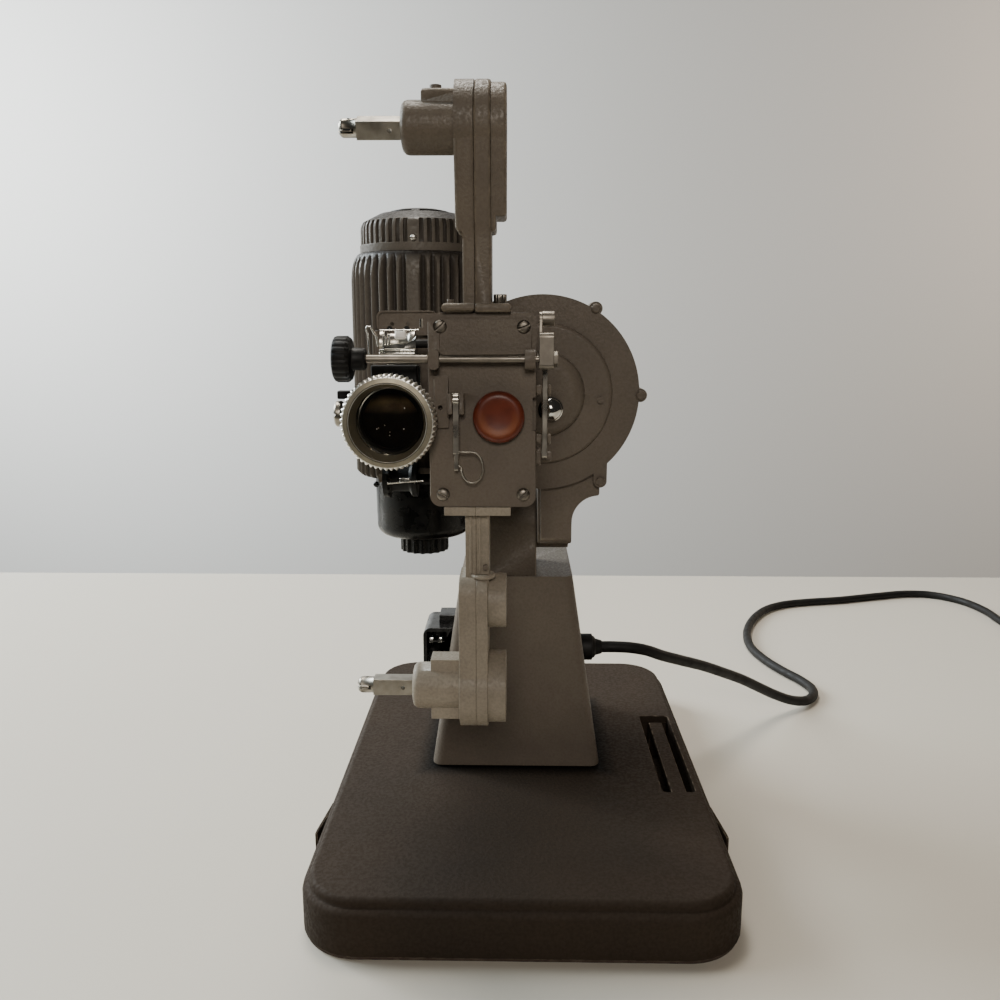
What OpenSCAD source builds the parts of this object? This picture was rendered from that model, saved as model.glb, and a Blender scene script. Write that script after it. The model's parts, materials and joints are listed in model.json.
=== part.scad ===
/* [Base] */
// Width of the base, left to right
base_w = 217; // [205:1:225]
// Depth of the base, front to back
base_d = 310; // [290:1:330]
// Height of the base above the table
base_h = 30; // [27:1:34]
// Corner radius of the base
base_r = 30; // [20:1:34]
// Wall of the base shell
base_wall = 3; // [2.5:0.5:4]
// Thickness of the fibre board that closes the base from below
board_t = 2; // [1.5:0.5:3]
// Step in from the outer rim to the raised panel
panel_step = 3.5; // [2.5:0.5:6]

/* [Carry handle] */
// Length of the handle slot in the top of the base
slot_l = 102; // [90:1:110]
// Width of the handle slot
slot_w = 19; // [15:1:20]
// Width of the handle strap
strap_w = 9; // [6:1:10]

/* [Pedestal] */
// Width of the pedestal where it meets the base
ped_w = 101; // [94:1:106]
// Depth of the pedestal where it meets the base
ped_d = 96; // [88:1:104]
// Width of the pedestal at its shoulder
ped_top_w = 66; // [62:1:70]
// Depth of the pedestal at its shoulder
ped_top_d = 78; // [72:1:84]
// Height of the shoulder above the table
shoulder_z = 148.5; // [142:0.5:150]
// Wall of the pedestal casting
ped_wall = 4; // [3:0.5:6]

/* [Tilt hinge] */
// Height of the tilt axis above the table
pivot_z = 178; // [174:0.5:180]
// Radius of the tilt pin
pin_r = 5; // [4:0.5:6]
// Running clearance of every shaft in its hole
run = 0.05; // [0.03:0.01:0.08]

/* [Head] */
// Width of the gear case, left to right
case_w = 47; // [44:1:50]
// Height of the gear case
case_h = 87; // [84:1:92]
// Wall of the gear case
case_wall = 3; // [2.5:0.5:4]
// Thickness of the front plate
plate_t = 4; // [3:0.5:5]
// Radius of the blower housing
fan_r = 52; // [50:0.5:53]
// Height of the motor axis above the table
fan_z = 257.4; // [257:0.2:258.4]
// Radius of the motor body
motor_r = 40; // [36:1:42]
// Length of the motor body behind the blower
motor_l = 66; // [58:1:74]

/* [Lamp house] */
// Radius over the cooling fins
fin_r = 36.5; // [36:0.5:37.5]
// Number of cooling fins
fins = 44; // [36:2:52]
// Depth of the grooves between the fins
groove = 2.6; // [1.5:0.1:3]
// Height of the lamp house body
lamp_h = 116; // [112:1:121]
// Radius of the lamp bowl below the body
bowl_r = 26; // [24:0.5:28]

/* [Lens] */
// Radius of the knurled lens ring
ring_r = 21.3; // [20.5:0.1:22]
// Radius of the sliding lens barrel
barrel_r = 14.2; // [13.6:0.1:14.4]
// Number of teeth round the lens ring
knurls = 48; // [36:2:60]

/* [Reel arms] */
// Radius of the arm end round its spindle
arm_r = 19.2; // [18:0.2:20]
// Side of the square reel spindle
spindle_w = 7.94; // [7.9:0.01:8]
// Radius of the spindle boss
boss_r = 11.2; // [10:0.2:12]
// Height of the upper spindle above the table
upper_z = 377.2; // [374:0.2:382]
// Height of the lower spindle above the table
lower_z = 120; // [118:0.2:124]

/* [Mains lead] */
// Diameter of the mains lead
lead_d = 7.4; // [6.8:0.1:7.6]

/* [Hidden] */
$fn = 48;
e = 0.01;

// Base
base_mid = -2.5;
base_x0 = base_mid - base_w / 2;
base_x1 = base_mid + base_w / 2;
base_y = base_d / 2;
rim_z = base_h - 4.5;
slot_x1 = base_x1 - 8;
slot_x0 = slot_x1 - slot_w;
slot_y = 1.5;
slot_y0 = slot_y - slot_l / 2;
slot_y1 = slot_y + slot_l / 2;
pocket_z = board_t + 2;
foot_reach = 2.5;
strap_x = (slot_x0 + slot_x1) / 2 + 1;
strap_x0 = strap_x - strap_w / 2;
strap_x1 = strap_x + strap_w / 2;
strap_gap = 3;
hook_y = -62;

// Pedestal and tilt hinge
ped_x = -5.5;
ped_front = -22;
ped_y = ped_front + ped_d / 2;
ped_gap = 1;
ped_z = base_h + ped_gap;
ped_top_front = -17;
ped_top_y = ped_top_front + ped_top_d / 2;
ped_corner = 6;
bolt_dx = ped_w / 2 - 11;
bolt_dy = ped_d / 2 - 11;
bolt_r = 3;
pivot_y = 4;
tongue_x0 = -33;
tongue_x1 = 6;
tongue_r = 19;
leg_x0 = tongue_x1 + 0.3;
leg_x1 = leg_x0 + 18.7;
leg_r = 16.5;
clamp_z = 128;
clamp_x = -14;

// Gear case and blower housing
case_x1 = 3;
case_x0 = case_x1 - case_w;
case_z0 = 212;
case_z1 = case_z0 + case_h;
case_y0 = -121;
case_y1 = -46;
plate_y = case_y0 - plate_t;
fan_x = 7.8;
fan_y0 = -38;
fan_y1 = 12;
cover_t = 4;
cover_y = fan_y0 - cover_t;
step_r = 37.5;
cap_r = 22.6;
cap_y = -54;
fan_wall = 4;
lug_r = 3.6;
lug_spots = [for (s = [[58, 0.6], [-1, 0.6], [-56, 5.4], [-117, -0.6], [118, -0.6]])
    [fan_x + (fan_r + s[1]) * cos(s[0]), fan_z + (fan_r + s[1]) * sin(s[0])]];
fillet_r = 15;
shaft_r = 4;
wheel_r = 26;

// Lamp house and light path
lens_x = -61.75;
lens_z = 251.85;
lamp_x = -57.3;
lamp_y = -34;
lamp_z0 = 214;
lamp_z1 = lamp_z0 + lamp_h;
lamp_in = 31;
lamp_gap = 0.2;
belt_z = lamp_z1;
belt_h = 4.1;
cap_top = belt_z + 23.6;
cap_fin_r = fin_r - 5.5;
cap_screw_z = belt_z + 6.1;
bowl_z = 178;
bowl_round = 5.5;
knob_z = 169.5;
bulb_z = bowl_z + 10;
wall_y = -74;
cond_y0 = -79.2;

// Lens, gate and film drive
ring_y0 = -140;
ring_y1 = -128;
glass_r = 15;
holder_y0 = -120.6;
holder_y1 = -95;
holder_r = barrel_r + 2.2;
barrel_y1 = -97;
focus_y = -112;
focus_z = lens_z + 1.45;
focus_x = -89.5;
glass_in = 8.2;
gate_y = -88;
pressure_travel = 3;
film_x0 = -69;
film_x1 = -53;
sprocket_y = -102;
sprocket_r = 7.5;
upper_sz = lens_z + holder_r + sprocket_r + 9.25;
lower_sz = lens_z - holder_r - sprocket_r - 6.95;
shutter_x = -36;
shutter_y = -82;
shutter_r = 30.5;

// Reel arms
arm_y = -115;
low_y = -111;
arm_x0 = -32.4;
seam_x = -24.3;
arm_x1 = -10.4;
lip_x = -18.9;
step_x = -14.9;
col_x0 = -29.4;
col_x1 = -16.9;
flange_x0 = -38.7;
flange_x1 = -8.3;
flange_t = 4;
flange_ly = 28;
boss_x = -55.7;
spindle_x = -75.2;
tip_x = -83.5;
tip_r = 4;
slot_t = 2.2;

// Control rod, link and levers
rod_y = -130;
rod_z = 279;
rod_r = 1.5;
sleeve_r = 1.8;
bracket_x0 = -44.3;
bracket_x1 = -39.6;
collar_x0 = -2.3;
collar_x1 = 2.4;
crank_x0 = 3.9;
crank_x1 = 5.3;
link_x0 = 5.7;
link_x1 = 8;
link_y0 = -125;
link_y1 = -119;
pin_y = -122;
stud_z = [265, 243];
stud_r = 1.5;

// Points of the mains lead, from the gland to the coil, chosen by hand
lead_z = lead_d / 2;
lead_points = [[50, 30, 88], [60, 30, 88], [70, 30.5, 87.2], [80, 33, 84.5], [91, 40, 78.5], [106, 52, 70.5],
    [123, 66, 61.5], [140, 81, 51], [159, 97, 39], [175, 109, 28], [190, 119, 18],
    [206, 128, 9.5], [220, 137, 5], [230, 149, 3.7], [234, 164, 3.7], [230, 182, 3.7],
    [221, 203, 3.7], [213, 228, 3.7], [209, 258, 3.7], [214, 294, 3.7], [228, 332, 3.7],
    [250, 367, 3.7], [274, 386, 3.7], [303, 396, 3.7], [340, 404, 3.7], [383, 418, 3.7],
    [420, 428, 3.7], [448, 424, 3.7], [469, 402, 3.7], [477, 370, 3.7], [476, 338, 3.7],
    [478, 310, 3.7], [486, 280, 3.7], [502, 256, 3.7], [524, 242, 3.7], [548, 237.5, 3.7]];
coil_x = 556;
coil_y = 290;
coil_out = 52.5;
coil_pitch = 8;
coil_low = 3;
coil_high = 2.75;
coil_steps = 24;
coil_sides = 6;
plug_r = 11.5;
plug_lead = 36;

// Helpers: round and square stock along the three axes
module xcyl(r, x0, x1, y, z) translate([x0, y, z]) rotate([0, 90, 0]) cylinder(r = r, h = x1 - x0);
module ycyl(r, y0, y1, x, z) translate([x, y0, z]) rotate([-90, 0, 0]) cylinder(r = r, h = y1 - y0);
module zcyl(r, z0, z1, x, y) translate([x, y, z0]) cylinder(r = r, h = z1 - z0);
module block(x0, x1, y0, y1, z0, z1) translate([x0, y0, z0]) cube([x1 - x0, y1 - y0, z1 - z0]);
module slab_x(x0, x1) translate([x0, 0, 0]) rotate([90, 0, 90]) linear_extrude(x1 - x0) children();
module slab_y(y0, y1) translate([0, y1, 0]) rotate([90, 0, 0]) linear_extrude(y1 - y0) children();
module spin_x(x, y, z) translate([x, y, z]) rotate([0, 90, 0]) rotate_extrude() children();
module spin_y(x, y, z) translate([x, y, z]) rotate([-90, 0, 0]) rotate_extrude() children();
module stick(a, b, r) {
    d = b - a;
    l = norm(d);
    translate(a) rotate([0, acos(d[2] / l), atan2(d[1], d[0])]) cylinder(r = r, h = l);
}
module rounded(x0, x1, y0, y1, r) {
    translate([x0 + r, y0]) square([x1 - x0 - 2 * r, y1 - y0]);
    translate([x0, y0 + r]) square([x1 - x0, y1 - y0 - 2 * r]);
    for (x = [x0 + r, x1 - r], y = [y0 + r, y1 - r]) translate([x, y]) circle(r);
}
module hexagon(r) circle(r, $fn = 6);

// A slab with rounded corners and a rounded upper edge
module soft_slab(x, y, r, z0, z1, edge) {
    hull() for (sx = [-1, 1], sy = [-1, 1])
        translate([sx * (x - r), sy * (y - r), z0]) rotate_extrude($fn = 32)
            polygon(concat([[0, 0], [r, 0]],
                [for (a = [0:22.5:90]) [r - edge + edge * cos(a), z1 - z0 - edge + edge * sin(a)]],
                [[0, z1 - z0]]));
}

// Base
module base_shell() color("#3b3430") difference() {
    translate([base_mid, 0, 0]) {
        soft_slab(base_w / 2, base_y, base_r, board_t, rim_z, 4);
        soft_slab(base_w / 2 - panel_step, base_y - panel_step, base_r - panel_step, rim_z - 5, base_h, 3);
    }
    translate([0, 0, -e]) linear_extrude(rim_z - base_wall)
        rounded(base_x0 + base_wall, slot_x0 - 3, -base_y + base_wall, base_y - base_wall,
            base_r - base_wall);
    translate([0, 0, -e]) linear_extrude(rim_z - base_wall) {
        block2(slot_x0 - 20, base_x1 - base_wall, -base_y + base_r, slot_y0 - 8);
        block2(slot_x0 - 20, base_x1 - base_wall, slot_y1 + 8, base_y - base_r);
    }
    block(slot_x0 - 1, slot_x1 + 0.5, slot_y0 - foot_reach - 1.5, slot_y1 + foot_reach + 1.5,
        pocket_z, base_h - base_wall - 2);
    translate([0, 0, pocket_z]) linear_extrude(base_h) rounded(slot_x0, slot_x1, slot_y0, slot_y1, 2);
    for (x = [ped_x - bolt_dx, ped_x + bolt_dx], y = [ped_y - bolt_dy, ped_y + bolt_dy])
        zcyl(bolt_r + run, 0, base_h + 1, x, y);
}
module block2(x0, x1, y0, y1) translate([x0, y0]) square([x1 - x0, y1 - y0]);
module base_board() color("#2b2522") linear_extrude(board_t)
    rounded(base_x0 + 1, base_x1 - 1, -base_y + 1, base_y - 1, base_r - 1);

// Sprung side hooks that hold the carrying cover, one on each side of the base
module cover_hook() {
    translate([0, 0, 8]) linear_extrude(12)
        polygon([[0, 16], [0, 10], [3.2, -18], [4.6, -18], [4.4, -14], [1.4, 14]]);
}
module cover_hooks() color("#3a3532") {
    translate([base_x1, hook_y, 0]) cover_hook();
    translate([base_x0, hook_y, 0]) mirror([1, 0, 0]) cover_hook();
}

// Strap handle that pulls up out of its slot and is caught by its feet
module carry_handle() color("#35302d") {
    top = base_h - 3;
    slab_x(strap_x0, strap_x1) difference() {
        rounded(slot_y0 + strap_gap, slot_y1 - strap_gap, pocket_z + 0.2, top, 1.5);
        translate([slot_y0 + strap_gap + 4, 0]) square([slot_l - 2 * strap_gap - 8, top - 4.5]);
    }
    for (y = [slot_y0 - foot_reach, slot_y1 - strap_gap - 2])
        block(strap_x0, strap_x1, y, y + foot_reach + strap_gap + 2, pocket_z + 0.2, pocket_z + 3.2);
}

// Pedestal
module pedestal_form(inset, z0, z1) hull() {
    for (sx = [-1, 1], sy = [-1, 1]) {
        translate([ped_x + sx * (ped_w / 2 - ped_corner), ped_y + sy * (ped_d / 2 - ped_corner), z0])
            cylinder(r = ped_corner - inset, h = 1, $fn = 32);
        translate([ped_x + sx * (ped_top_w / 2 - ped_corner),
            ped_top_y + sy * (ped_top_d / 2 - ped_corner), z1 - 1])
            cylinder(r = ped_corner - inset, h = 1, $fn = 32);
    }
}
module pedestal() color("#6a6056") difference() {
    union() {
        difference() {
            union() {
                pedestal_form(0, ped_z, shoulder_z);
                block(ped_x - ped_w / 2 + 2, ped_x + ped_w / 2 - 2, ped_front + 2,
                    ped_front + ped_d - 2, base_h, ped_z + 1);
            }
            pedestal_form(ped_wall, base_h - 1, shoulder_z - ped_wall);
        }
        slab_x(tongue_x0, tongue_x1) {
            translate([pivot_y, pivot_z]) circle(tongue_r);
            block2(pivot_y - tongue_r, pivot_y + tongue_r, shoulder_z - ped_wall, pivot_z);
        }
        for (x = [ped_x - bolt_dx, ped_x + bolt_dx], y = [ped_y - bolt_dy, ped_y + bolt_dy])
            zcyl(7, base_h, base_h + 16, x, y);
        ycyl(8, ped_top_y + ped_top_d / 2 - 6, ped_top_y + ped_top_d / 2 + 6, clamp_x, clamp_z);
    }
    xcyl(pin_r + run, tongue_x0 - 1, tongue_x1 + 1, pivot_y, pivot_z);
    for (x = [ped_x - bolt_dx, ped_x + bolt_dx], y = [ped_y - bolt_dy, ped_y + bolt_dy])
        zcyl(bolt_r, base_h - 1, base_h + 12, x, y);
    ycyl(3 + run, ped_top_y + 16, ped_top_y + ped_top_d / 2 + 7, clamp_x, clamp_z);
}
module pedestal_bolts() color("#77736c")
    for (x = [ped_x - bolt_dx, ped_x + bolt_dx], y = [ped_y - bolt_dy, ped_y + bolt_dy]) {
        zcyl(bolt_r, rim_z - base_wall - 1, base_h + 12, x, y);
        translate([x, y, rim_z - base_wall - 5]) linear_extrude(5 - e) hexagon(6);
    }

// Knob of the tilt clamp, at the back of the pedestal
module tilt_knob() color("#1d1b1a") {
    y0 = ped_top_y + ped_top_d / 2 + 6.3;
    ycyl(3, ped_top_y + 17, y0 + 2, clamp_x, clamp_z);
    slab_y(y0, y0 + 12) difference() {
        translate([clamp_x, clamp_z]) circle(14);
        for (a = [0:30:330]) translate([clamp_x + 15 * cos(a), clamp_z + 15 * sin(a)]) circle(2.2);
    }
}

// Black guard with two toggles on the left side of the pedestal
switch_x0 = -62.3;
switch_y = 8;
switch_z = 99;
module switch_box() color("#1a1a1b") {
    difference() {
        union() {
            slab_y(-6, 26) difference() {
                rounded(switch_x0, -30, 85, 112.5, 5);
                block2(switch_x0 + 2.4, -47.8, 88, 110);
            }
            slab_y(12, 26) block2(switch_x0 + 1, -32, 86, 111);
            block(-53, -34, 2, 18, 112, 118);
        }
        pedestal_form(0, ped_z, shoulder_z);
    }
    xcyl(1.2, switch_x0 + 1, -47, switch_y, switch_z);
}
module toggle(x0) slab_x(x0 + 0.4, x0 + 3) difference() {
    union() {
        translate([switch_y, switch_z]) circle(3.4);
        polygon([[switch_y, switch_z - 3.4], [switch_y, switch_z + 3.4],
            [switch_y - 11, switch_z + 6.6], [switch_y - 12, switch_z + 3.6]]);
    }
    translate([switch_y, switch_z]) circle(1.2 + run);
}
module lamp_switch() color("#c9c9c6") toggle(switch_x0 + 3);
module motor_switch() color("#c9c9c6") toggle(switch_x0 + 8.4);

// Gland and strain relief on the right side of the pedestal
gland_y = 30;
gland_z = 88;
gland_x = 43.5;
lead_x = 50;
module cord_gland() color("#1c1b1a") difference() {
    union() {
        xcyl(8.5, 30, gland_x, gland_y, gland_z);
        spin_x(gland_x, gland_y, gland_z)
            polygon([[0, 0], [7.4, 0], [6.6, 1.6], [5.4, 2.2], [lead_d / 2 + 0.5, lead_x - gland_x],
                [0, lead_x - gland_x]]);
    }
    pedestal_form(0, ped_z, shoulder_z);
}

// Mains lead
function mix3(a, b, c, d, t) = 0.5 * ((2 * b) + (c - a) * t + (2 * a - 5 * b + 4 * c - d) * t * t
    + (3 * b - a - 3 * c + d) * t * t * t);
function smooth(p, n) = let (last = len(p) - 1) concat([for (i = [0:last - 1], k = [0:n - 1])
    mix3(p[max(i - 1, 0)], p[i], p[i + 1], p[min(i + 2, last)], k / n)], [p[last]]);
function unit(v) = v / norm(v);
function along(p, i) = unit(p[min(i + 1, len(p) - 1)] - p[max(i - 1, 0)]);
function ring_at(c, t, r, n, up) = let (s = unit(cross(t, up)), u = cross(s, t))
    [for (k = [0:n - 1]) c + r * (s * sin(360 * k / n) - u * cos(360 * k / n))];
module tube(path, dirs, r, n, up = [0, 0, 1]) {
    m = len(path);
    pts = [for (i = [0:m - 1]) each ring_at(path[i], dirs[i], r, n, up)];
    sides = [for (i = [0:m - 2], k = [0:n - 1]) let (a = i * n + k, b = i * n + (k + 1) % n)
        each [[a, b, a + n], [b, b + n, a + n]]];
    ends = concat([for (k = [1:n - 2]) [0, k + 1, k]],
        [for (k = [1:n - 2]) [(m - 1) * n, (m - 1) * n + k, (m - 1) * n + k + 1]]);
    polyhedron(points = pts, faces = concat(sides, ends));
}
lead_path = smooth(lead_points, 2);
lead_dirs = [for (i = [0:len(lead_path) - 1])
    i == 0 || i == len(lead_path) - 1 ? [1, 0, 0] : along(lead_path, i)];
module mains_cord() color("#161616") tube(lead_path, lead_dirs, lead_d / 2, 8);

// Coil of the length that is put away: a spiral in, a half turn that climbs, and a spiral out
coil_in = coil_out - coil_low * coil_pitch;
coil_total = coil_low + 0.5 + coil_high;
function coil_rad(t) = t < coil_low ? coil_out - coil_pitch * t
    : t < coil_low + 0.5 ? coil_in - coil_pitch * min(t - coil_low, coil_low + 0.5 - t)
    : coil_in + coil_pitch * (t - coil_low - 0.5);
function coil_up(t) = lead_z + (lead_d + 0.7) * min(max((t - coil_low) / 0.5, 0), 1);
function coil_at(t) = let (a = 360 * t - 90)
    [coil_x + coil_rad(t) * cos(a), coil_y + coil_rad(t) * sin(a), coil_up(t)];
coil_turns = [for (i = [0:coil_total * coil_steps]) coil_at(i / coil_steps)];
coil_end = coil_turns[len(coil_turns) - 1];
coil_path = concat([[coil_x - lead_d - 0.6, coil_y - coil_out, lead_z]], coil_turns,
    [coil_end + [0, lead_d, 0], coil_end + [0, plug_lead, 0]]);
coil_dirs = [for (i = [0:len(coil_path) - 1]) i < 1 ? [1, 0, 0]
    : i >= len(coil_path) - 2 ? [0, 1, 0] : along(coil_path, i)];
coil_apart = min([for (i = [0:len(coil_turns) - 1], j = [i + 12:len(coil_turns) - 1])
    if (j < len(coil_turns)) norm(coil_turns[i] - coil_turns[j])]) - lead_d;
echo(least_gap_in_coil_mm = coil_apart);
module cord_coil() color("#161616") tube(coil_path, coil_dirs, lead_d / 2, coil_sides);
module cord_tie() color("#2a2a2a") {
    top = 2 * lead_d + 0.7;
    x0 = coil_x - coil_out + 0.9;
    x1 = coil_x - coil_in + 3.5;
    slab_y(coil_y - 4, coil_y + 4) difference() {
        rounded(x0 - 1.2, x1 + 1.2, -4, top + 1.7, 2);
        block2(x0 - 3, x1 + 3, -5, 0);
        rounded(x0, x1, -4, top + 0.5, 1.5);
    }
}
module plug() color("#191919") {
    y0 = coil_end[1] + plug_lead;
    spin_y(coil_end[0], y0, coil_end[2] + 0.1)
        polygon([[0, 0], [5, 0], [6.4, 9], [plug_r - 1.5, 12], [plug_r, 14], [plug_r, 31],
            [plug_r - 1.5, 32.5], [0, 32.5]]);
    for (s = [-1, 1])
        block(coil_end[0] + 6.35 * s - 0.75, coil_end[0] + 6.35 * s + 0.75, y0 + 32, y0 + 50,
            coil_end[2] - 3, coil_end[2] + 3.2);
}

// Blower housing: ring wall, back wall and the leg that hangs on the tilt pin
module lamp_clear(extra) zcyl(fin_r + lamp_gap + extra, 190, 330, lamp_x, lamp_y);
module lugs(y0, y1) slab_y(y0, y1) {
    for (p = lug_spots) translate(p) circle(lug_r);
    p = lug_spots[2];
    polygon([p + [-lug_r, 0], p + [lug_r, 0], p + [lug_r, 12], p + [-lug_r, 12]]);
}
module lug_holes(y0, y1) for (p = lug_spots) ycyl(1.6, y0, y1, p[0], p[1]);
module leg_fillet() {
    z = fan_z - fan_r - fillet_r - 4.4;
    difference() {
        block(leg_x1 - 1, leg_x1 + fillet_r, fan_y0, pivot_y + leg_r - 9, z, fan_z - 38.5);
        ycyl(fillet_r, fan_y0 - 1, pivot_y + leg_r, leg_x1 + fillet_r, z);
    }
}
module head_casting() color("#6b6157") difference() {
    union() {
        ycyl(fan_r, fan_y0, fan_y1, fan_x, fan_z);
        lugs(fan_y0, fan_y0 + 12);
        slab_x(leg_x0, leg_x1) {
            translate([pivot_y, pivot_z]) circle(leg_r);
            polygon([[fan_y0, fan_z - 44], [fan_y0, pivot_z - 2], [fan_y0 + 3, pivot_z - 5],
                [pivot_y - 12, pivot_z - 11], [pivot_y + leg_r, pivot_z], [pivot_y + leg_r, fan_z - 44]]);
        }
        leg_fillet();
    }
    ycyl(fan_r - fan_wall, fan_y0 - 1, fan_y1 - fan_wall, fan_x, fan_z);
    ycyl(motor_r, fan_y1, fan_y1 + 30, fan_x, fan_z);
    ycyl(14, fan_y0, fan_y1 + 1, fan_x, fan_z);
    xcyl(pin_r, leg_x0 - 1, leg_x1 + 1, pivot_y, pivot_z);
    block(leg_x0 - 1, leg_x0 + 1.3, fan_y0 - 1, fan_y0 + 7, pivot_z - 6, fan_z - fan_r + 1);
    lug_holes(fan_y0 - 1, fan_y0 + 9);
    lamp_clear(0);
}
module tilt_pin() color("#8b867d") {
    xcyl(pin_r, tongue_x0 - 1.4, leg_x1, pivot_y, pivot_z);
    xcyl(8, tongue_x0 - 3, tongue_x0 - 0.2, pivot_y, pivot_z);
}
module fan_cover() color("#6d6358") difference() {
    union() {
        ycyl(fan_r, cover_y, fan_y0, fan_x, fan_z);
        lugs(cover_y, fan_y0);
        spin_y(fan_x, cover_y - 4, fan_z)
            polygon([[0, 5], [0, 0], [step_r - 2.5, 0], [step_r - 0.8, 0.8], [step_r, 2.4], [step_r, 5]]);
        ycyl(1.8, cover_y - 5.6, cover_y - 3, fan_x + 31, fan_z - 3);
    }
    ycyl(cap_r - 3, cover_y - 6, fan_y0 + 1, fan_x, fan_z);
    ycyl(cap_r, cover_y - 6, cover_y - 1, fan_x, fan_z);
    lug_holes(cover_y - 1, fan_y0 + 1);
    lamp_clear(0);
}
module bearing_cap() color("#70665b") difference() {
    spin_y(fan_x, cap_y, fan_z)
        polygon(concat([[0, cover_y - 1 - cap_y], [0, 0]],
            [for (a = [0:15:75]) [cap_r - 8 + 8 * sin(a), 8 - 8 * cos(a)]],
            [[cap_r, 8], [cap_r, cover_y - 1 - cap_y]]));
    ycyl(shaft_r + run, -51, cover_y, fan_x, fan_z);
    ycyl(2 + run, cap_y - 1, -49, inch_x, inch_z);
}

// Gear case: a box open to the front plate, scooped for the lamp house
module gear_case() color("#6c6257") difference() {
    union() {
        slab_y(case_y0, case_y1) rounded(case_x0, case_x1, case_z0, case_z1, 4);
        for (z = [upper_sz, lower_sz]) xcyl(4.5, case_x0 - 2, case_x0 + 1, sprocket_y, z);
    }
    block(case_x0 + case_wall, case_x1 - case_wall, case_y0 - 1, wall_y,
        case_z0 + case_wall, case_z1 - case_wall);
    block(-17, case_x1 - case_wall, wall_y - 1, -50, case_z0 + case_wall, case_z1 - case_wall);
    ycyl(cap_r + 0.3, -60, case_y1 + 1, fan_x, fan_z);
    for (z = [upper_sz, lower_sz])
        xcyl(2.5 + run, case_x0 - 3, case_x0 + case_wall + 1, sprocket_y, z);
    block(case_x0 - 1, case_x0 + case_wall + 1, shutter_y - 2.4, shutter_y + 2.4,
        lens_z - shutter_r - 2, lens_z + shutter_r + 2);
    ycyl(2 + run, wall_y - 1, -69, shutter_x, lens_z);
    zcyl(1.5 + run, case_z1 - 7, case_z1 + 1, thumb_x, thumb_y);
    lamp_clear(0);
}
module front_plate() color("#6f655a") difference() {
    union() {
        slab_y(plate_y, case_y0) rounded(case_x0 - 1, case_x1, case_z0 + 0.3, case_z1 - 0.2, 5);
        slab_y(plate_y - 1.2, plate_y + e)
            rounded(case_x0 + 3.6, case_x1 - 2.1, case_z1 - 18.3, case_z1 - 3.2, 3);
        block(case_x0 - 0.8, bracket_x1, plate_y - 1.8, plate_y + 1, 275.5, case_z1 - 4);
        slab_y(rod_y - 3.4, plate_y) rounded(bracket_x0, bracket_x1, rod_z - 4.4, rod_z + 4.4, 2);
        slab_y(plate_y - 1.8, plate_y) rounded(-42.5, -36, 248.5, 271.5, 1);
        for (x = [lever_x0 - 2.4, lever_x1 + 0.2])
            block(x, x + 2.2, lever_y - 1.6, plate_y + 0.2, lever_z - 6.2, lever_z + 2.9);
        xcyl(0.9, lever_x0 - 1, lever_x1 + 1, lever_y, lever_z);
        xcyl(4.4, collar_x0, collar_x1, rod_y, rod_z);
        block(collar_x0, collar_x1, rod_y, plate_y + 1, rod_z - 4.4, rod_z + 4.4);
    }
    xcyl(rod_r + run, case_x0 - 5, case_x1 + 5, rod_y, rod_z);
    for (p = plate_holes) {
        ycyl(1.75, plate_y - 3, case_y0 + 1, p[0], p[1]);
        ycyl(3, plate_y - 3, plate_y + 1, p[0], p[1]);
    }
    ycyl(9.6, plate_y - 1, case_y0 + 1, jewel_x, jewel_z);
    block(case_x1 - 1.6, case_x1 + 1, plate_y - 1, case_y0 + 1, 247, 262);
    ycyl(1.1, plate_y - 4, plate_y + 2, -39.7, 257.5);
    ycyl(2 + run, case_y0 - 2, case_y0 + 1, shutter_x, lens_z);
}
plate_holes = [[-39.5, 293], [-2.7, 292.8], [-39, 218], [-2.6, 218]];
jewel_x = -13.7;
jewel_z = 253.4;
module screw_y(x, z, y, r, l) {
    difference() {
        spin_y(x, y - 1.6, z) polygon([[0, 0], [r - 0.9, 0], [r, 0.9], [r, 1.6], [0, 1.6]]);
        translate([x, y, z]) rotate([0, 40, 0]) cube([2 * r + 1, 2, 0.7], center = true);
    }
    ycyl(r * 0.55, y - 0.1, y + l, x, z);
}
module plate_screws() color("#9a948a") for (p = plate_holes) screw_y(p[0], p[1], plate_y + 1, 2.9, 2.9);
module head_screws() color("#8f897f") {
    for (p = lug_spots) screw_y(p[0], p[1], cover_y, 2.6, 12);
    zcyl(2.6, upper_z + boss_r + 4, upper_z + boss_r + 6, -41, arm_y);
    zcyl(1.5, case_z1 + flange_t, case_z1 + flange_t + 1.6, -34.9, arm_y - 9);
    ycyl(1.5, lamp_y - cap_fin_r - 0.9, lamp_y - cap_fin_r + 0.8, lamp_x, cap_screw_z);
    ycyl(0.95, lamp_y - cap_fin_r, lamp_y - cap_fin_r + 4, lamp_x, cap_screw_z);
    ycyl(1.4, low_y - 10.6, low_y - 9, -20, low_top + 5);
}
module jewel() color("#a8320f") {
    spin_y(jewel_x, plate_y - 6, jewel_z)
        polygon(concat([[0, 6], [0, 1.2], [7, 0.7]],
            [for (a = [0:22.5:90]) [9.4 + 2.1 * sin(a), 2.1 - 2.1 * cos(a)]], [[11.5, 6]]));
    ycyl(9.5, plate_y - e, case_y0 + 2, jewel_x, jewel_z);
}

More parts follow.
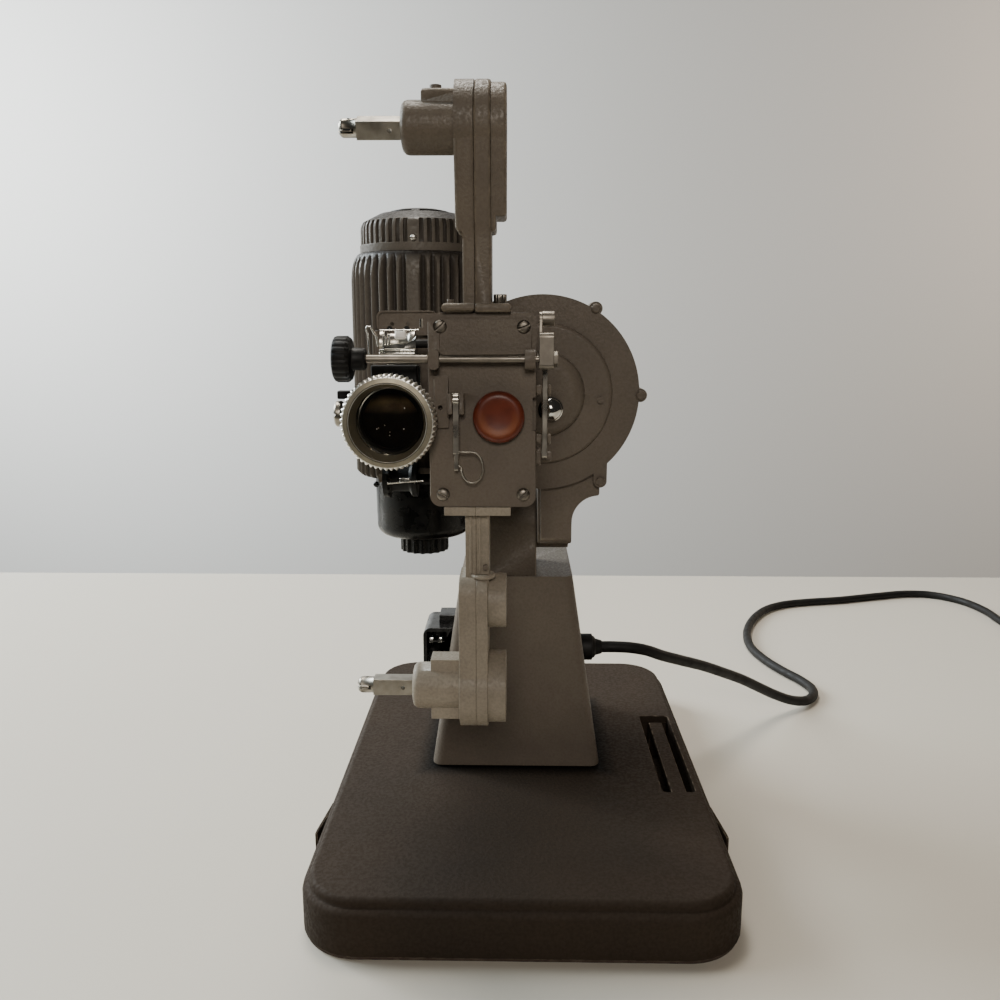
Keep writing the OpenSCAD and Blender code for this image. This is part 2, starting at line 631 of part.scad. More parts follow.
// Motor and blower
module motor_body() color("#665c52") difference() {
    spin_y(fan_x, fan_y1, fan_z)
        polygon([[0, 0], [motor_r, 0], [motor_r, motor_l], [0, motor_l]]);
    ycyl(motor_r - 3, fan_y1 + 3, fan_y1 + motor_l + 1, fan_x, fan_z);
    ycyl(14, fan_y1 - 1, fan_y1 + 4, fan_x, fan_z);
}
bell_y = fan_y1 + motor_l;
module motor_end_bell() color("#6a6056") difference() {
    spin_y(fan_x, bell_y, fan_z)
        polygon([[0, 0], [motor_r + 0.8, 0], [motor_r + 0.8, 4], [motor_r - 1, 8], [motor_r - 6, 12],
            [15, 15], [11, 19], [0, 19]]);
    spin_y(fan_x, bell_y - 1, fan_z) polygon([[0, 0], [motor_r - 3, 0], [motor_r - 8, 9], [0, 11]]);
    ycyl(shaft_r + run, bell_y - 1, bell_y + 14, fan_x, fan_z);
    for (a = [0:30:330]) translate([fan_x, 0, fan_z]) rotate([0, a, 0])
        block(18, 30, bell_y + 6, bell_y + 20, -2.2, 2.2);
}
module motor_shaft() color("#8d8d8a") {
    ycyl(shaft_r, -50.6, bell_y + 13.6, fan_x, fan_z);
    ycyl(motor_r - 12, fan_y1 + 10, bell_y - 10, fan_x, fan_z);
}
module blower_wheel() color("#8f8f8c") translate([fan_x, 0, fan_z]) rotate([-90, 0, 0]) {
    translate([0, 0, -4]) difference() {
        cylinder(r = wheel_r, h = 2);
        translate([0, 0, -1]) cylinder(r = shaft_r, h = 4);
    }
    translate([0, 0, -16]) difference() {
        cylinder(r = 8, h = 13);
        translate([0, 0, -1]) cylinder(r = shaft_r, h = 15);
    }
    for (a = [0:20:340]) rotate(a) translate([wheel_r - 8, -0.6, -30]) cube([7.4, 1.2, 26.5]);
    translate([0, 0, -31.5]) difference() {
        cylinder(r = wheel_r, h = 1.8);
        translate([0, 0, -1]) cylinder(r = wheel_r - 8, h = 4);
    }
}

// Lens
module lens_holder() color("#3f3b37") difference() {
    union() {
        ycyl(holder_r, holder_y0, holder_y1, lens_x, lens_z);
        block(lens_x + barrel_r, case_x0, -117, -98, lens_z - 7, lens_z + 7);
        block(-72, -51, -116, -108.5, lens_z + 10, 275.6);
        block(focus_x + 1.4, -70, -114.5, -109.5, 260.2, 264);
    }
    ycyl(barrel_r + run, holder_y0 - 1, holder_y1 + 1, lens_x, lens_z);
    xcyl(1.5 + run, focus_x, lens_x, focus_y, focus_z);
}
module lens_barrel() color("#4a4743") difference() {
    ycyl(barrel_r, ring_y1, barrel_y1, lens_x, lens_z);
    ycyl(barrel_r - 1.8, ring_y1 - 1, barrel_y1 + 1, lens_x, lens_z);
}
module lens_ring() color("#c9c6bd") difference() {
    union() {
        spin_y(lens_x, ring_y0, lens_z)
            polygon([[0, 12], [0, 0], [17.6, 0], [ring_r - 1.6, 1.6], [ring_r, 3], [ring_r, 10.6],
                [ring_r - 1.4, 12]]);
    }
    for (i = [0:knurls - 1]) translate([lens_x, 0, lens_z]) rotate([0, 360 * i / knurls, 0])
        translate([ring_r + 0.25, ring_y0 - 1, 0]) rotate([-90, 0, 0]) cylinder(r = 0.8, h = 15, $fn = 16);
    spin_y(lens_x, ring_y0 - e, lens_z)
        polygon([[0, -1], [17.1, -1], [17.1, 0], [glass_r + 0.1, glass_in - 1.2],
            [glass_r + 0.1, glass_in + 2.6], [12.4, glass_in + 2.6], [12.4, 13], [0, 13]]);
}
module front_glass() color("#4a3f2c") spin_y(lens_x, ring_y0 + glass_in, lens_z)
    polygon([[0, 0], [6, 0.2], [11, 0.8], [glass_r, 1.6], [glass_r, 2.5], [0, 2.5]]);
module focus_knob() color("#bdb9b0") difference() {
    union() {
        spin_x(focus_x, focus_y, focus_z)
            polygon([[0, 0], [5.2, 0], [6, 0.8], [6, 3], [5.2, 3.8], [2.6, 3.8], [2.6, 6], [0, 6]]);
        xcyl(1.5, focus_x + 5, lens_x - barrel_r - 0.5, focus_y, focus_z);
    }
    block(focus_x - 1, focus_x + 1, focus_y - 7, focus_y + 7, focus_z - 0.4, focus_z + 0.4);
}

// Gate and film drive
pin_z = [lens_z - 14.85, lens_z + 18.15];
module gate_plate() color("#b9b5ab") difference() {
    union() {
        block(film_x0 - 5, case_x0, gate_y, gate_y + 2, lower_sz - 4, upper_sz + 6);
        slab_y(gate_y - 3.6, gate_y - 1) rounded(film_x0 - 3.4, case_x0, upper_sz + 5.5, upper_sz + 15.3, 3);
        difference() {
            slab_y(gate_y - 4.6, gate_y - 3) rounded(film_x0 - 3.4, case_x0, upper_sz + 5.5, upper_sz + 15.3, 3);
            slab_y(gate_y - 5, gate_y - 3.6)
                rounded(film_x0 - 2.5, case_x0 + 4, upper_sz + 2, upper_sz + 14.4, 2.4);
        }
        block(film_x0 + 3, case_x0, gate_y - 3.6, gate_y + 1, upper_sz + 3.6, upper_sz + 6.5);
        block(film_x0 - 5, case_x0, gate_y - 3.6, gate_y + 1, lower_sz + 0.3, lower_sz + 3.8);
        for (z = pin_z) ycyl(1.2, gate_y - 6.4, gate_y + 1, lens_x, z);
    }
    block(lens_x - 5.2, lens_x + 5.2, gate_y - 1, gate_y + 3, lens_z - 3.8, lens_z + 3.8);
    for (x = [film_x0 + 3.9, film_x0 + 11.6]) ycyl(0.9, gate_y - 5, gate_y + 3, x, upper_sz + 9);
}
module pressure_plate() color("#cfcac0") difference() {
    slab_y(gate_y - 3, gate_y - 0.9) rounded(film_x0 - 1, film_x1 + 1, lens_z - 19.85, lens_z + 23.15, 2);
    block(lens_x - 5.2, lens_x + 5.2, gate_y - 4, gate_y, lens_z - 3.8, lens_z + 3.8);
    for (z = pin_z) ycyl(1.2 + run, gate_y - 4, gate_y, lens_x, z);
}
module sprocket(z) {
    difference() {
        spin_x(film_x0, sprocket_y, z)
            polygon([[0, 0], [8.4, 0], [8.4, 2.2], [sprocket_r, 2.8], [sprocket_r - 1.6, 4],
                [sprocket_r - 1.6, 12], [sprocket_r, 13.2], [8.4, 13.8], [8.4, 16], [0, 16]]);
    }
    for (i = [0:11]) translate([0, sprocket_y, z]) rotate([30 * i, 0, 0])
        block(film_x0 + 2.2, film_x0 + 3.2, -0.6, 0.6, sprocket_r - 1, 9);
    xcyl(2.5, film_x1 - 1, case_x0 + case_wall + 1, sprocket_y, z);
}
module upper_sprocket() color("#c4c0b7") sprocket(upper_sz);
module lower_sprocket() color("#c4c0b7") sprocket(lower_sz);

// Shoes that keep the film on the sprockets, guide wires and the bracket that holds them
module film_guides() color("#c8c5bd") {
    for (s = [[upper_sz, 1], [lower_sz, -1]]) {
        slab_x(film_x0, film_x1) difference() {
            translate([sprocket_y, s[0]]) circle(11.6);
            translate([sprocket_y, s[0]]) circle(9.9);
            block2(sprocket_y - 8, sprocket_y + 13, s[0] - 13, s[0] + 13);
        }
        block(film_x1 - 1, case_x0, sprocket_y - 11.4, sprocket_y - 10, s[0] - 3, s[0] + 1);
    }
    block(film_x0 + 8.4, film_x0 + 12.9, sprocket_y - 12.9, sprocket_y - 11, upper_sz + 1.5, upper_sz + 6);
    wire_y = sprocket_y - 14.4;
    bend = [[case_x0, wire_y, upper_sz + 5.6], [film_x0 + 0.6, wire_y, upper_sz + 5.6],
        [film_x0 - 3, wire_y, upper_sz - 4], [film_x0 - 4.6, wire_y, upper_sz + 8]];
    for (i = [0:2]) stick(bend[i], bend[i + 1], 0.5);
    stick([case_x0, sprocket_y - 12.2, lower_sz + 1.4], [film_x0 - 1.4, sprocket_y - 12.2, lower_sz - 0.4], 0.5);
    translate([film_x0 - 2.2, sprocket_y - 12.2, lower_sz - 0.4]) sphere(r = 1.4);
}
module shutter() color("#55524e") {
    difference() {
        union() {
            ycyl(shutter_r, shutter_y - 0.6, shutter_y + 0.6, shutter_x, lens_z);
            ycyl(6, shutter_y - 2, shutter_y + 2, shutter_x, lens_z);
        }
        slab_y(shutter_y - 1, shutter_y + 1) for (a = [0, 180]) translate([shutter_x, lens_z]) rotate(a)
            polygon([[10, -6], [33, -19.8], [33, 19.8], [10, 6]]);
    }
    ycyl(2, case_y0 - 1.8, -69.4, shutter_x, lens_z);
}
module condenser() color("#a9b3b0") spin_y(lens_x, cond_y0, lens_z)
    polygon([[0, 0], [5, 0.3], [11.5, 2], [11.5, 9.4], [5, 9.9], [0, 10]]);

// Lamp house
module fin_ring(r, n, depth, wide) difference() {
    circle(r);
    for (i = [0:n - 1]) if (abs(i - n * 0.75) > 0.6) rotate(360 * i / n)
        translate([r - depth, -wide / 2]) square([depth + 1, wide]);
}
module lamp_house() color("#6b635b") difference() {
    translate([lamp_x, lamp_y, 0]) intersection() {
        translate([0, 0, lamp_z0]) linear_extrude(lamp_h) fin_ring(fin_r, fins, groove, 3.3);
        rotate_extrude() polygon(concat([[0, lamp_z0], [fin_r - 2, lamp_z0], [fin_r, lamp_z0 + 2]],
            [for (a = [0:15:90]) [fin_r - 5 + 5 * cos(a), lamp_z1 - 15 + 15 * sin(a)]], [[0, lamp_z1]]));
    }
    zcyl(lamp_in, lamp_z0 + 4, lamp_z1 - 4, lamp_x, lamp_y);
    zcyl(20, lamp_z1 - 5, lamp_z1 + 1, lamp_x, lamp_y);
    zcyl(22, lamp_z0 - 1, lamp_z0 + 5, lamp_x, lamp_y);
    ycyl(11.6, lamp_y - 50, lamp_y, lens_x, lens_z);
    block(lamp_x + 20, lamp_x + 50, lamp_y - 10, lamp_y + 10, 236, 280);
}
module lamp_cap() color("#6c645c") difference() {
    translate([lamp_x, lamp_y, 0]) union() {
        translate([0, 0, belt_z]) cylinder(r = fin_r - 5, h = belt_h);
        intersection() {
            translate([0, 0, belt_z]) linear_extrude(30) fin_ring(cap_fin_r, fins + 4, 1.8, 2.2);
            rotate_extrude() polygon(concat([[0, belt_z]], [[cap_fin_r, belt_z]],
                [for (a = [0:15:45]) [cap_fin_r - 5 + 5 * cos(a), belt_z + 11.5 + 6 * sin(a)]],
                [[20, cap_top - 3], [11, cap_top - 1], [0, cap_top]]));
        }
    }
    translate([lamp_x, lamp_y, belt_z - 1]) cylinder(r = cap_fin_r - 4.4, h = 15.5);
    translate([lamp_x, lamp_y, belt_z + 13]) difference() {
        cylinder(r = 20.5, h = 12);
        translate([0, 0, -1]) cylinder(r = 15.5, h = 14);
        for (a = [0, 90]) rotate(a) translate([-30, -2, -1]) cube([60, 4, 14]);
    }
    ycyl(1.55, lamp_y - cap_fin_r - 1, lamp_y - cap_fin_r + 0.8, lamp_x, cap_screw_z);
    ycyl(0.95 + run, lamp_y - cap_fin_r - 1, lamp_y - cap_fin_r + 5, lamp_x, cap_screw_z);
}
module lamp_bowl() color("#121213") difference() {
    translate([lamp_x, lamp_y, 0]) rotate_extrude()
        polygon(concat([[0, bulb_z], [0, bowl_z], [12, bowl_z]],
            [for (a = [15:15:90]) [bowl_r - bowl_round + bowl_round * sin(a),
                bowl_z + 7 - bowl_round * cos(a)]],
            [[bowl_r + 0.6, lamp_z0], [bowl_r - 3, lamp_z0], [bowl_r - 3, bowl_z + 7.4],
            [bowl_r - 5.6, bowl_z + 4.8], [14, bowl_z + 3.4], [14, bulb_z]]));
    zcyl(4 + run, bowl_z - 1, bulb_z + 1, lamp_x, lamp_y);
}
module bowl_knob() color("#161617") {
    translate([lamp_x, lamp_y, knob_z]) linear_extrude(8) difference() {
        circle(13.4);
        for (a = [0:20:340]) rotate(a) translate([14.3, 0]) circle(1.9);
    }
    zcyl(4, knob_z + 7, bowl_z + 9, lamp_x, lamp_y);
}
module lamp_bulb() color("#d8dcd8") translate([lens_x, lamp_y, 0]) rotate_extrude()
    polygon([[0, bulb_z], [13, bulb_z], [13, bulb_z + 24], [15, bulb_z + 34], [15, lamp_z1 - 34],
        [12, lamp_z1 - 27], [6, lamp_z1 - 23], [0, lamp_z1 - 22]]);

// Reel arms, drawn in the side view with the spindle at the origin and the head below it
module arm_side(r, mid_u, mid_w, end_u, end_w, inset) {
    circle(r - inset);
    polygon([[r - inset - 0.5, 0], [mid_w - inset, mid_u], [end_w - inset, mid_u - 3],
        [end_w - inset, end_u], [-end_w + inset, end_u], [-end_w + inset, mid_u - 3],
        [-mid_w + inset, mid_u], [-r + inset + 0.5, 0]]);
}
up_mid = -44;
up_end = case_z1 + 1 - upper_z;
module upper_side(inset) translate([arm_y, upper_z])
    arm_side(arm_r, up_mid, 12.5, up_end, 11, inset);
module boss(y, z) difference() {
    spin_x(boss_x, y, z) polygon(concat([[0, 0]],
        [for (a = [0:30:90]) [boss_r - 3 + 3 * sin(a), 3 - 3 * cos(a)]], [[boss_r, 23.5], [0, 23.5]]));
}
module gear_room(y, z, x0, x1) {
    xcyl(15.2, x0, x1, y, z);
}
module upper_flange(x0, x1) {
    block(x0, x1, arm_y - flange_ly / 2, arm_y + flange_ly / 2, case_z1, case_z1 + flange_t);
}
module upper_arm_left() color("#75695d") difference() {
    union() {
        difference() {
            slab_x(arm_x0, seam_x) upper_side(0);
            block(arm_x0 - 1, col_x0, arm_y - 30, arm_y + 30, case_z1 - 1, upper_z + up_mid);
        }
        boss(arm_y, upper_z);
        block(-46.8, arm_x0 + 1, arm_y - 6, arm_y + 6, upper_z + 4, upper_z + boss_r + 4);
        upper_flange(flange_x0, seam_x);
    }
    gear_room(arm_y, upper_z, col_x0 + 1, seam_x + 1);
    xcyl(4 + run, boss_x - 1, seam_x, arm_y, upper_z);
    zcyl(1.49, upper_z + boss_r, upper_z + boss_r + 5, -41, arm_y);
}
module upper_arm_right() color("#6e6459") difference() {
    union() {
        slab_x(seam_x, col_x1) upper_side(0);
        difference() {
            slab_x(col_x1 - 1, arm_x1) upper_side(1.2);
            block(step_x, arm_x1 + 1, arm_y - 30, arm_y + 30, case_z1 - 1, upper_z + up_mid + 6);
            block(col_x1 - 2, arm_x1 + 1, arm_y - 30, arm_y + 30, case_z1 - 1, upper_z + up_mid);
        }
        upper_flange(seam_x, flange_x1);
    }
    gear_room(arm_y, upper_z, seam_x - 1, arm_x1 - 3);
    xcyl(3 + run, arm_x1 - 4, arm_x1 - 1, arm_y, upper_z);
    zcyl(1.5 + run, case_z1 - 1, case_z1 + flange_t + 1, thumb_x, thumb_y);
}
low_top = 177.5;
module lower_side(inset) translate([low_y, lower_z]) {
    circle(arm_r - inset);
    rounded(-arm_r + 3 + inset, arm_r - 3 - inset, -6, low_top - lower_z - inset, 8);
}
module arm_collar() spin_z(-21.4, low_y - 7, low_top)
    polygon([[0, -0.5], [5.6, -0.5], [6.1, 0.6], [5.6, 1.6], [0, 1.6]]);
module lower_neck(x0, x1) block(x0, x1, low_y - 9, low_y + 9, low_top - 6, case_z0 - flange_t + 1);
module lower_flange(x0, x1)
    block(x0, x1, low_y - flange_ly / 2, low_y + flange_ly / 2, case_z0 - flange_t, case_z0);
module lower_arm_left() color("#8a7d6c") difference() {
    union() {
        slab_x(arm_x0, seam_x) lower_side(0);
        boss(low_y, lower_z);
        block(-46.8, arm_x0 + 1, low_y - 6, low_y + 6, lower_z + 4, lower_z + boss_r + 4);
        block(-46.8, arm_x0 + 1, low_y - 6, low_y + 6, lower_z - boss_r - 4, lower_z - 4);
        lower_neck(col_x0, seam_x);
        block(col_x0 + 2, col_x0 + 3.2, low_y - 9.8, low_y - 8, low_top + 2, case_z0 - flange_t + 1);
        lower_flange(flange_x0, seam_x);
        difference() {
            arm_collar();
            block(seam_x, seam_x + 20, low_y - 20, low_y + 2, low_top - 2, low_top + 3);
        }
    }
    gear_room(low_y, lower_z, arm_x0 + 3.6, seam_x + 1);
    xcyl(4 + run, boss_x - 1, seam_x, low_y, lower_z);
}
module lower_arm_right() color("#857868") difference() {
    union() {
        slab_x(seam_x, lip_x) lower_side(0);
        xcyl(arm_r - 1.8, lip_x - 1, arm_x1, low_y, lower_z);
        xcyl(13, lip_x - 1, arm_x1, low_y, low_top - 13.8);
        lower_neck(seam_x, -18.4);
        block(seam_x + 1, seam_x + 2.2, low_y - 9.8, low_y - 8, low_top + 2, case_z0 - flange_t + 1);
        arm_collar();
        lower_flange(seam_x, flange_x1);
    }
    gear_room(low_y, lower_z, seam_x - 1, arm_x1 - 3);
    xcyl(3 + run, arm_x1 - 4, arm_x1 - 1, low_y, lower_z);
    block(seam_x - 12, seam_x, low_y - 12, low_y + 12, low_top - 8, low_top + 8);
}
module spin_z(x, y, z) translate([x, y, z]) rotate_extrude() children();

// Reel spindles with their folding tips
module spindle(y, z, turn) translate([0, y, z]) rotate([turn, 0, 0]) {
    difference() {
        union() {
            block(spindle_x, boss_x - 0.3, -spindle_w / 2, spindle_w / 2, -spindle_w / 2, spindle_w / 2);
            xcyl(4, boss_x - 1, seam_x + 0.4, 0, 0);
            xcyl(3, seam_x, arm_x1 - 1.8, 0, 0);
            xcyl(tip_r, tip_x + 2.5, spindle_x + 1, 0, 0);
            spin_x(tip_x, 0, 0)
                polygon(concat([for (a = [0:15:90]) [tip_r * sin(a), 2.5 - 2.5 * cos(a)]], [[0, 2.5]]));
            difference() {
                xcyl(13, seam_x + 1.6, seam_x + 5.6, 0, 0);
                for (i = [0:23]) rotate([15 * i, 0, 0])
                    translate([seam_x, 0, 13]) rotate([0, 90, 0]) cylinder(r = 0.85, h = 8, $fn = 16);
            }
        }
        block(tip_x - 1, spindle_x - 1.2, -6, 6, -slot_t / 2, slot_t / 2);
        zcyl(0.7 + run, -6, 6, latch_x, 0);
        ycyl(1, -9, 9, boss_x - 5, 0);
    }
}
latch_x = -78.4;
module latch(y, z, turn) translate([0, y, z]) rotate([turn, 0, 0]) {
    intersection() {
        block(tip_x + 0.3, spindle_x - 1.5, -3.2, 3.2, -slot_t / 2 + 0.1, slot_t / 2 - 0.1);
        union() {
            zcyl(1.9, -3, 3, latch_x, 0);
            block(tip_x + 2.2, latch_x, -1.9, 1.9, -3, 3);
            zcyl(1.9, -3, 3, tip_x + 2.2, 0);
        }
    }
    zcyl(0.7, -3.6, 3.6, latch_x, 0);
}
upper_turn = 28;
module upper_spindle() color("#a7a49c") spindle(arm_y, upper_z, upper_turn);
module lower_spindle() color("#b5b2aa") spindle(low_y, lower_z, 0);
module upper_latch() color("#d2d0ca") latch(arm_y, upper_z, upper_turn);
module lower_latch() color("#d2d0ca") latch(low_y, lower_z, 0);

// Control rod with its knob and crank, and the link it works
module control_knob() color("#141414") difference() {
    spin_x(-85.6, rod_y, rod_z)
        polygon([[0, 0], [8.6, 0], [9.6, 0.6], [10.1, 1.8], [10.1, 6.2], [9, 7.7], [5.2, 7.7],
            [5, 8.4], [5, 12.9], [4.2, 13.9], [0, 13.9]]);
    xcyl(rod_r, -84, -70, rod_y, rod_z);
    for (a = [0:20:340]) translate([0, rod_y, rod_z]) rotate([a, 0, 0])
        xcyl(0.7, -86, -77.6, 0, 10.5);
}
crank_top = [-126.5, 296.3];
module control_rod() color("#a39c92") {
    xcyl(rod_r, -84, 12, rod_y, rod_z);
    xcyl(sleeve_r, -71.7, bracket_x0 - 0.3, rod_y, rod_z);
    slab_x(crank_x0, crank_x1) {
        translate([rod_y, rod_z]) circle(4);
        translate(crank_top) circle(3);
        translate([pin_y, rod_z]) circle(2.6);
        polygon([[rod_y - 3.8, rod_z], [rod_y + 3.8, rod_z], [crank_top[0] + 2.8, crank_top[1]],
            [crank_top[0] - 2.8, crank_top[1]]]);
        block2(rod_y, pin_y, rod_z - 2.6, rod_z + 2.6);
    }
    slab_x(crank_x0, 10.3) rounded(rod_y - 4.6, rod_y + 2.5, rod_z - 4.3, rod_z + 11.5, 2.2);
    xcyl(1.15, crank_x1 - 0.2, link_x1 + 1.4, pin_y, rod_z);
    xcyl(3.3, crank_x1 - 0.1, 10.7, crank_top[0], crank_top[1]);
    translate([9.6, rod_y, rod_z]) rotate([0, 90, 0]) cylinder(r = 3.5, h = 2.6, $fn = 6);
}
module link_strip() color("#b3aea4") slab_x(link_x0, link_x1) difference() {
    rounded(link_y0, link_y1, 234.5, 284, 1.4);
    block2(pin_y - 1.9, pin_y + 1.6, rod_z - 1.35, rod_z + 1.35);
    for (z = stud_z) hull() {
        translate([pin_y, z - 3]) circle(stud_r + run);
        translate([pin_y, z + 2.4]) circle(stud_r + run);
    }
}
module link_bracket() color("#8a8175") {
    for (z = stud_z) {
        xcyl(stud_r, case_x1, link_x1 + 0.4, pin_y + 0, z);
        xcyl(2.6, link_x1 + 0.2, link_x1 + 1.6, pin_y, z);
        xcyl(2.4, case_x1, link_x0 - 0.15, pin_y, z);
    }
    slab_x(case_x1, case_x1 + 2.4) rounded(-120.6, -108, 230.6, 237.8, 1.5);
    xcyl(2.3, case_x1 + 2.3, case_x1 + 7.3, -116, 234.3);
}

// Chrome lever on the front plate, with its wire finger loop
lever_x0 = -33.9;
lever_x1 = -31.3;
lever_y = -129.6;
lever_z = 261.2;
loop_x = -25.5;
loop_z = 231.1;
loop_r = 4.9;
loop_h = 7;
wire_r = 0.45;
loop_path = concat([[lever_x1 - 0.8, lever_y, loop_z + loop_h]],
    [for (a = [90:-15:-180]) [loop_x + loop_r * cos(a), lever_y, loop_z + loop_h * sin(a)]],
    [[lever_x1 - 0.9, lever_y, loop_z + 1.2]]);
loop_dirs = [for (i = [0:len(loop_path) - 1]) along(loop_path, i)];
module threading_lever() color("#cbc8c0") difference() {
    union() {
        slab_x(lever_x0, lever_x1) rounded(lever_y - 1, lever_y + 1, 237, 264.6, 0.9);
        slab_x(lever_x0 + 0.5, lever_x1 - 0.4) rounded(lever_y - 0.9, lever_y + 0.9, 229.6, 240, 0.8);
        xcyl(2.1, lever_x0, lever_x1, lever_y, lever_z);
        tube(loop_path, loop_dirs, wire_r, 8, [0, 1, 0]);
    }
    xcyl(0.9 + run, lever_x0 - 1, lever_x1 + 1, lever_y, lever_z);
}
inch_x = 12;
inch_z = 250.2;
module inching_knob() color("#c9c7c1") {
    spin_y(inch_x, cap_y - 6.3, inch_z)
        polygon([[0, 0], [4.2, 0], [4.9, 0.7], [4.9, 5.2], [4.2, 6], [0, 6]]);
    ycyl(2, cap_y - 1, -49.2, inch_x, inch_z);
}
thumb_x = -13.2;
thumb_y = -118.4;
module thumb_screw() color("#262320") {
    zcyl(1.5, case_z1 - 5, case_z1 + flange_t + 1, thumb_x, thumb_y);
    translate([thumb_x, thumb_y, case_z1 + flange_t + 0.15]) linear_extrude(3.8) difference() {
        circle(3);
        for (a = [0:30:330]) rotate(a) translate([3.3, 0]) circle(0.5);
    }
}

base_shell();
base_board();
cover_hooks();
carry_handle();
pedestal();
pedestal_bolts();
switch_box();
lamp_switch();
motor_switch();
tilt_knob();
cord_gland();
mains_cord();
cord_coil();
cord_tie();
plug();
head_casting();
tilt_pin();
fan_cover();
bearing_cap();
gear_case();
front_plate();
plate_screws();
head_screws();
jewel();
motor_body();
motor_end_bell();
motor_shaft();
blower_wheel();
lens_holder();
lens_barrel();
lens_ring();
front_glass();
focus_knob();
gate_plate();
pressure_plate();
film_guides();
upper_sprocket();
lower_sprocket();
shutter();
condenser();
lamp_house();
lamp_cap();
lamp_bowl();
bowl_knob();
lamp_bulb();
upper_arm_left();
upper_arm_right();
lower_arm_left();
lower_arm_right();
upper_spindle();
lower_spindle();
upper_latch();
lower_latch();
control_knob();
control_rod();
link_strip();
link_bracket();
threading_lever();
inching_knob();
thumb_screw();
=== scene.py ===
"""Finishes, fine pieces and stage of a small movie projector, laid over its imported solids."""
import json
import math

import bmesh
import bpy
from mathutils import Matrix, Vector
from mathutils.bvhtree import BVHTree


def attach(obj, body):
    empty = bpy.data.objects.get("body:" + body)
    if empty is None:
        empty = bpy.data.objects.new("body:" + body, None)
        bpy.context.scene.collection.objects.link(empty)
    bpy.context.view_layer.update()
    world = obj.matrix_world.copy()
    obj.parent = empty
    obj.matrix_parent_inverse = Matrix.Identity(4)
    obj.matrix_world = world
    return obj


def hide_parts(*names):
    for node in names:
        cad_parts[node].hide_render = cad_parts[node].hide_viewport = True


bl_info = {
    "name": "Movie projector pieces",
    "version": (1, 0, 0),
    "blender": (4, 5, 0),
    "location": "3D View > Sidebar > Projector",
    "description": "Makes the finishes and fine pieces of a movie projector over its packed solids",
    "category": "Object",
}

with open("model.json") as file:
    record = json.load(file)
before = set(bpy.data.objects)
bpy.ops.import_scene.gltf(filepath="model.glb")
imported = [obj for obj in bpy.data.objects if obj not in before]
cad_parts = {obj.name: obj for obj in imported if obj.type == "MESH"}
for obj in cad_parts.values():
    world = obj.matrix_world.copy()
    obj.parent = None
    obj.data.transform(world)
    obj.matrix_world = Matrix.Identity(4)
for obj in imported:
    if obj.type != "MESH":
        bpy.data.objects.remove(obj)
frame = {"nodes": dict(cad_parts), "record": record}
NODES = frame["nodes"]
BODY_OF = {n: b for b, ns in frame["record"]["behaviour"]["bodies"].items() for n in ns}
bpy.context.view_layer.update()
MM = 0.001


def point(x, y, z):
    """A place given in millimetres, as a vector in metres."""
    return Vector((x, y, z)) * MM


# The photograph's camera: its place in millimetres, and its turn down and to the left in degrees
CAMERA = (-5.5, -526.9, 294.5)
CAMERA_DOWN = 11.126
CAMERA_LEFT = 1.093
# Places that the solids share, in millimetres
LENS = (-61.75, 251.85)
JEWEL = (-13.7, -125, 253.4)
RING_Y = -140
PLATE_Y = -125
PLATE_SCREWS = [(-39.5, 293, 42), (-2.7, 292.8, 20), (-39, 218, -30), (-2.6, 218, 48)]
CAP_SCREW = (-57.3, -65.4, 336.1)
CONTROL_KNOB = (-85.6, -130, 279)
INCHING_KNOB = (12, -54.3, 250.2)
SPROCKETS = (-69, -102)
GATE_Y = -91.6
UPPER_Z = 285
LOWER_Z = 221
LAMP = (-57.3, -34)
# The pedestal's foot on the base, its middle and half widths, round which contact shadow is painted
PEDESTAL_FOOT = (-5.5, 26, 50.5, 48)
LEAD_R = 3.7
LEAD_POINTS = [
    (50, 30, 88), (60, 30, 88), (70, 30.5, 87.2), (80, 33, 84.5), (91, 40, 78.5), (106, 52, 70.5),
    (123, 66, 61.5), (140, 81, 51), (159, 97, 39), (175, 109, 28), (190, 119, 18), (206, 128, 9.5), (220, 137, 5),
] + [(x, y, LEAD_R) for x, y in (
    (230, 149), (234, 164), (230, 182), (221, 203), (213, 228), (209, 258), (214, 294), (228, 332), (250, 367),
    (274, 386), (303, 396), (340, 404), (383, 418), (420, 428), (448, 424), (469, 402), (477, 370), (476, 338),
    (478, 310), (486, 280), (502, 256), (524, 242), (548, 237.5))]
# The coil's middle, outer radius and pitch, its turns below and above, and the end that runs on to the plug
COIL = {"x": 556, "y": 290, "out": 52.5, "pitch": 8, "low": 3, "high": 2.75, "lead": 36}

# What counts as touching, in metres, and how much of a rounded mesh may be turned over, in square metres
TOUCHING = 2e-6
LET_PASS = 2e-7
# Shares of the wished rounding and the shortest edge that takes it, in millimetres, until one is sound
ROUNDINGS = ((1, 0), (0.65, 0), (0.9, 6), (0.6, 6), (0.4, 0), (0.4, 12), (0.25, 0), (0.15, 0), (0.25, 10), (0, 0))


# Settings


class ProjectorSizes(bpy.types.PropertyGroup):
    """Sizes that a user would change."""

    edge: bpy.props.FloatProperty(
        name="Casting edge", description="Rounding of a casting's edges, in millimetres",
        default=1.3, min=0.2, max=3)
    trim_edge: bpy.props.FloatProperty(
        name="Trim edge", description="Rounding of small metal pieces, in millimetres",
        default=0.3, min=0.05, max=1)
    fins: bpy.props.IntProperty(
        name="Fins", description="Cooling fins round the lamp house", default=44, min=36, max=52)
    teeth: bpy.props.IntProperty(
        name="Teeth", description="Rounded teeth round the lens ring", default=56, min=36, max=72)


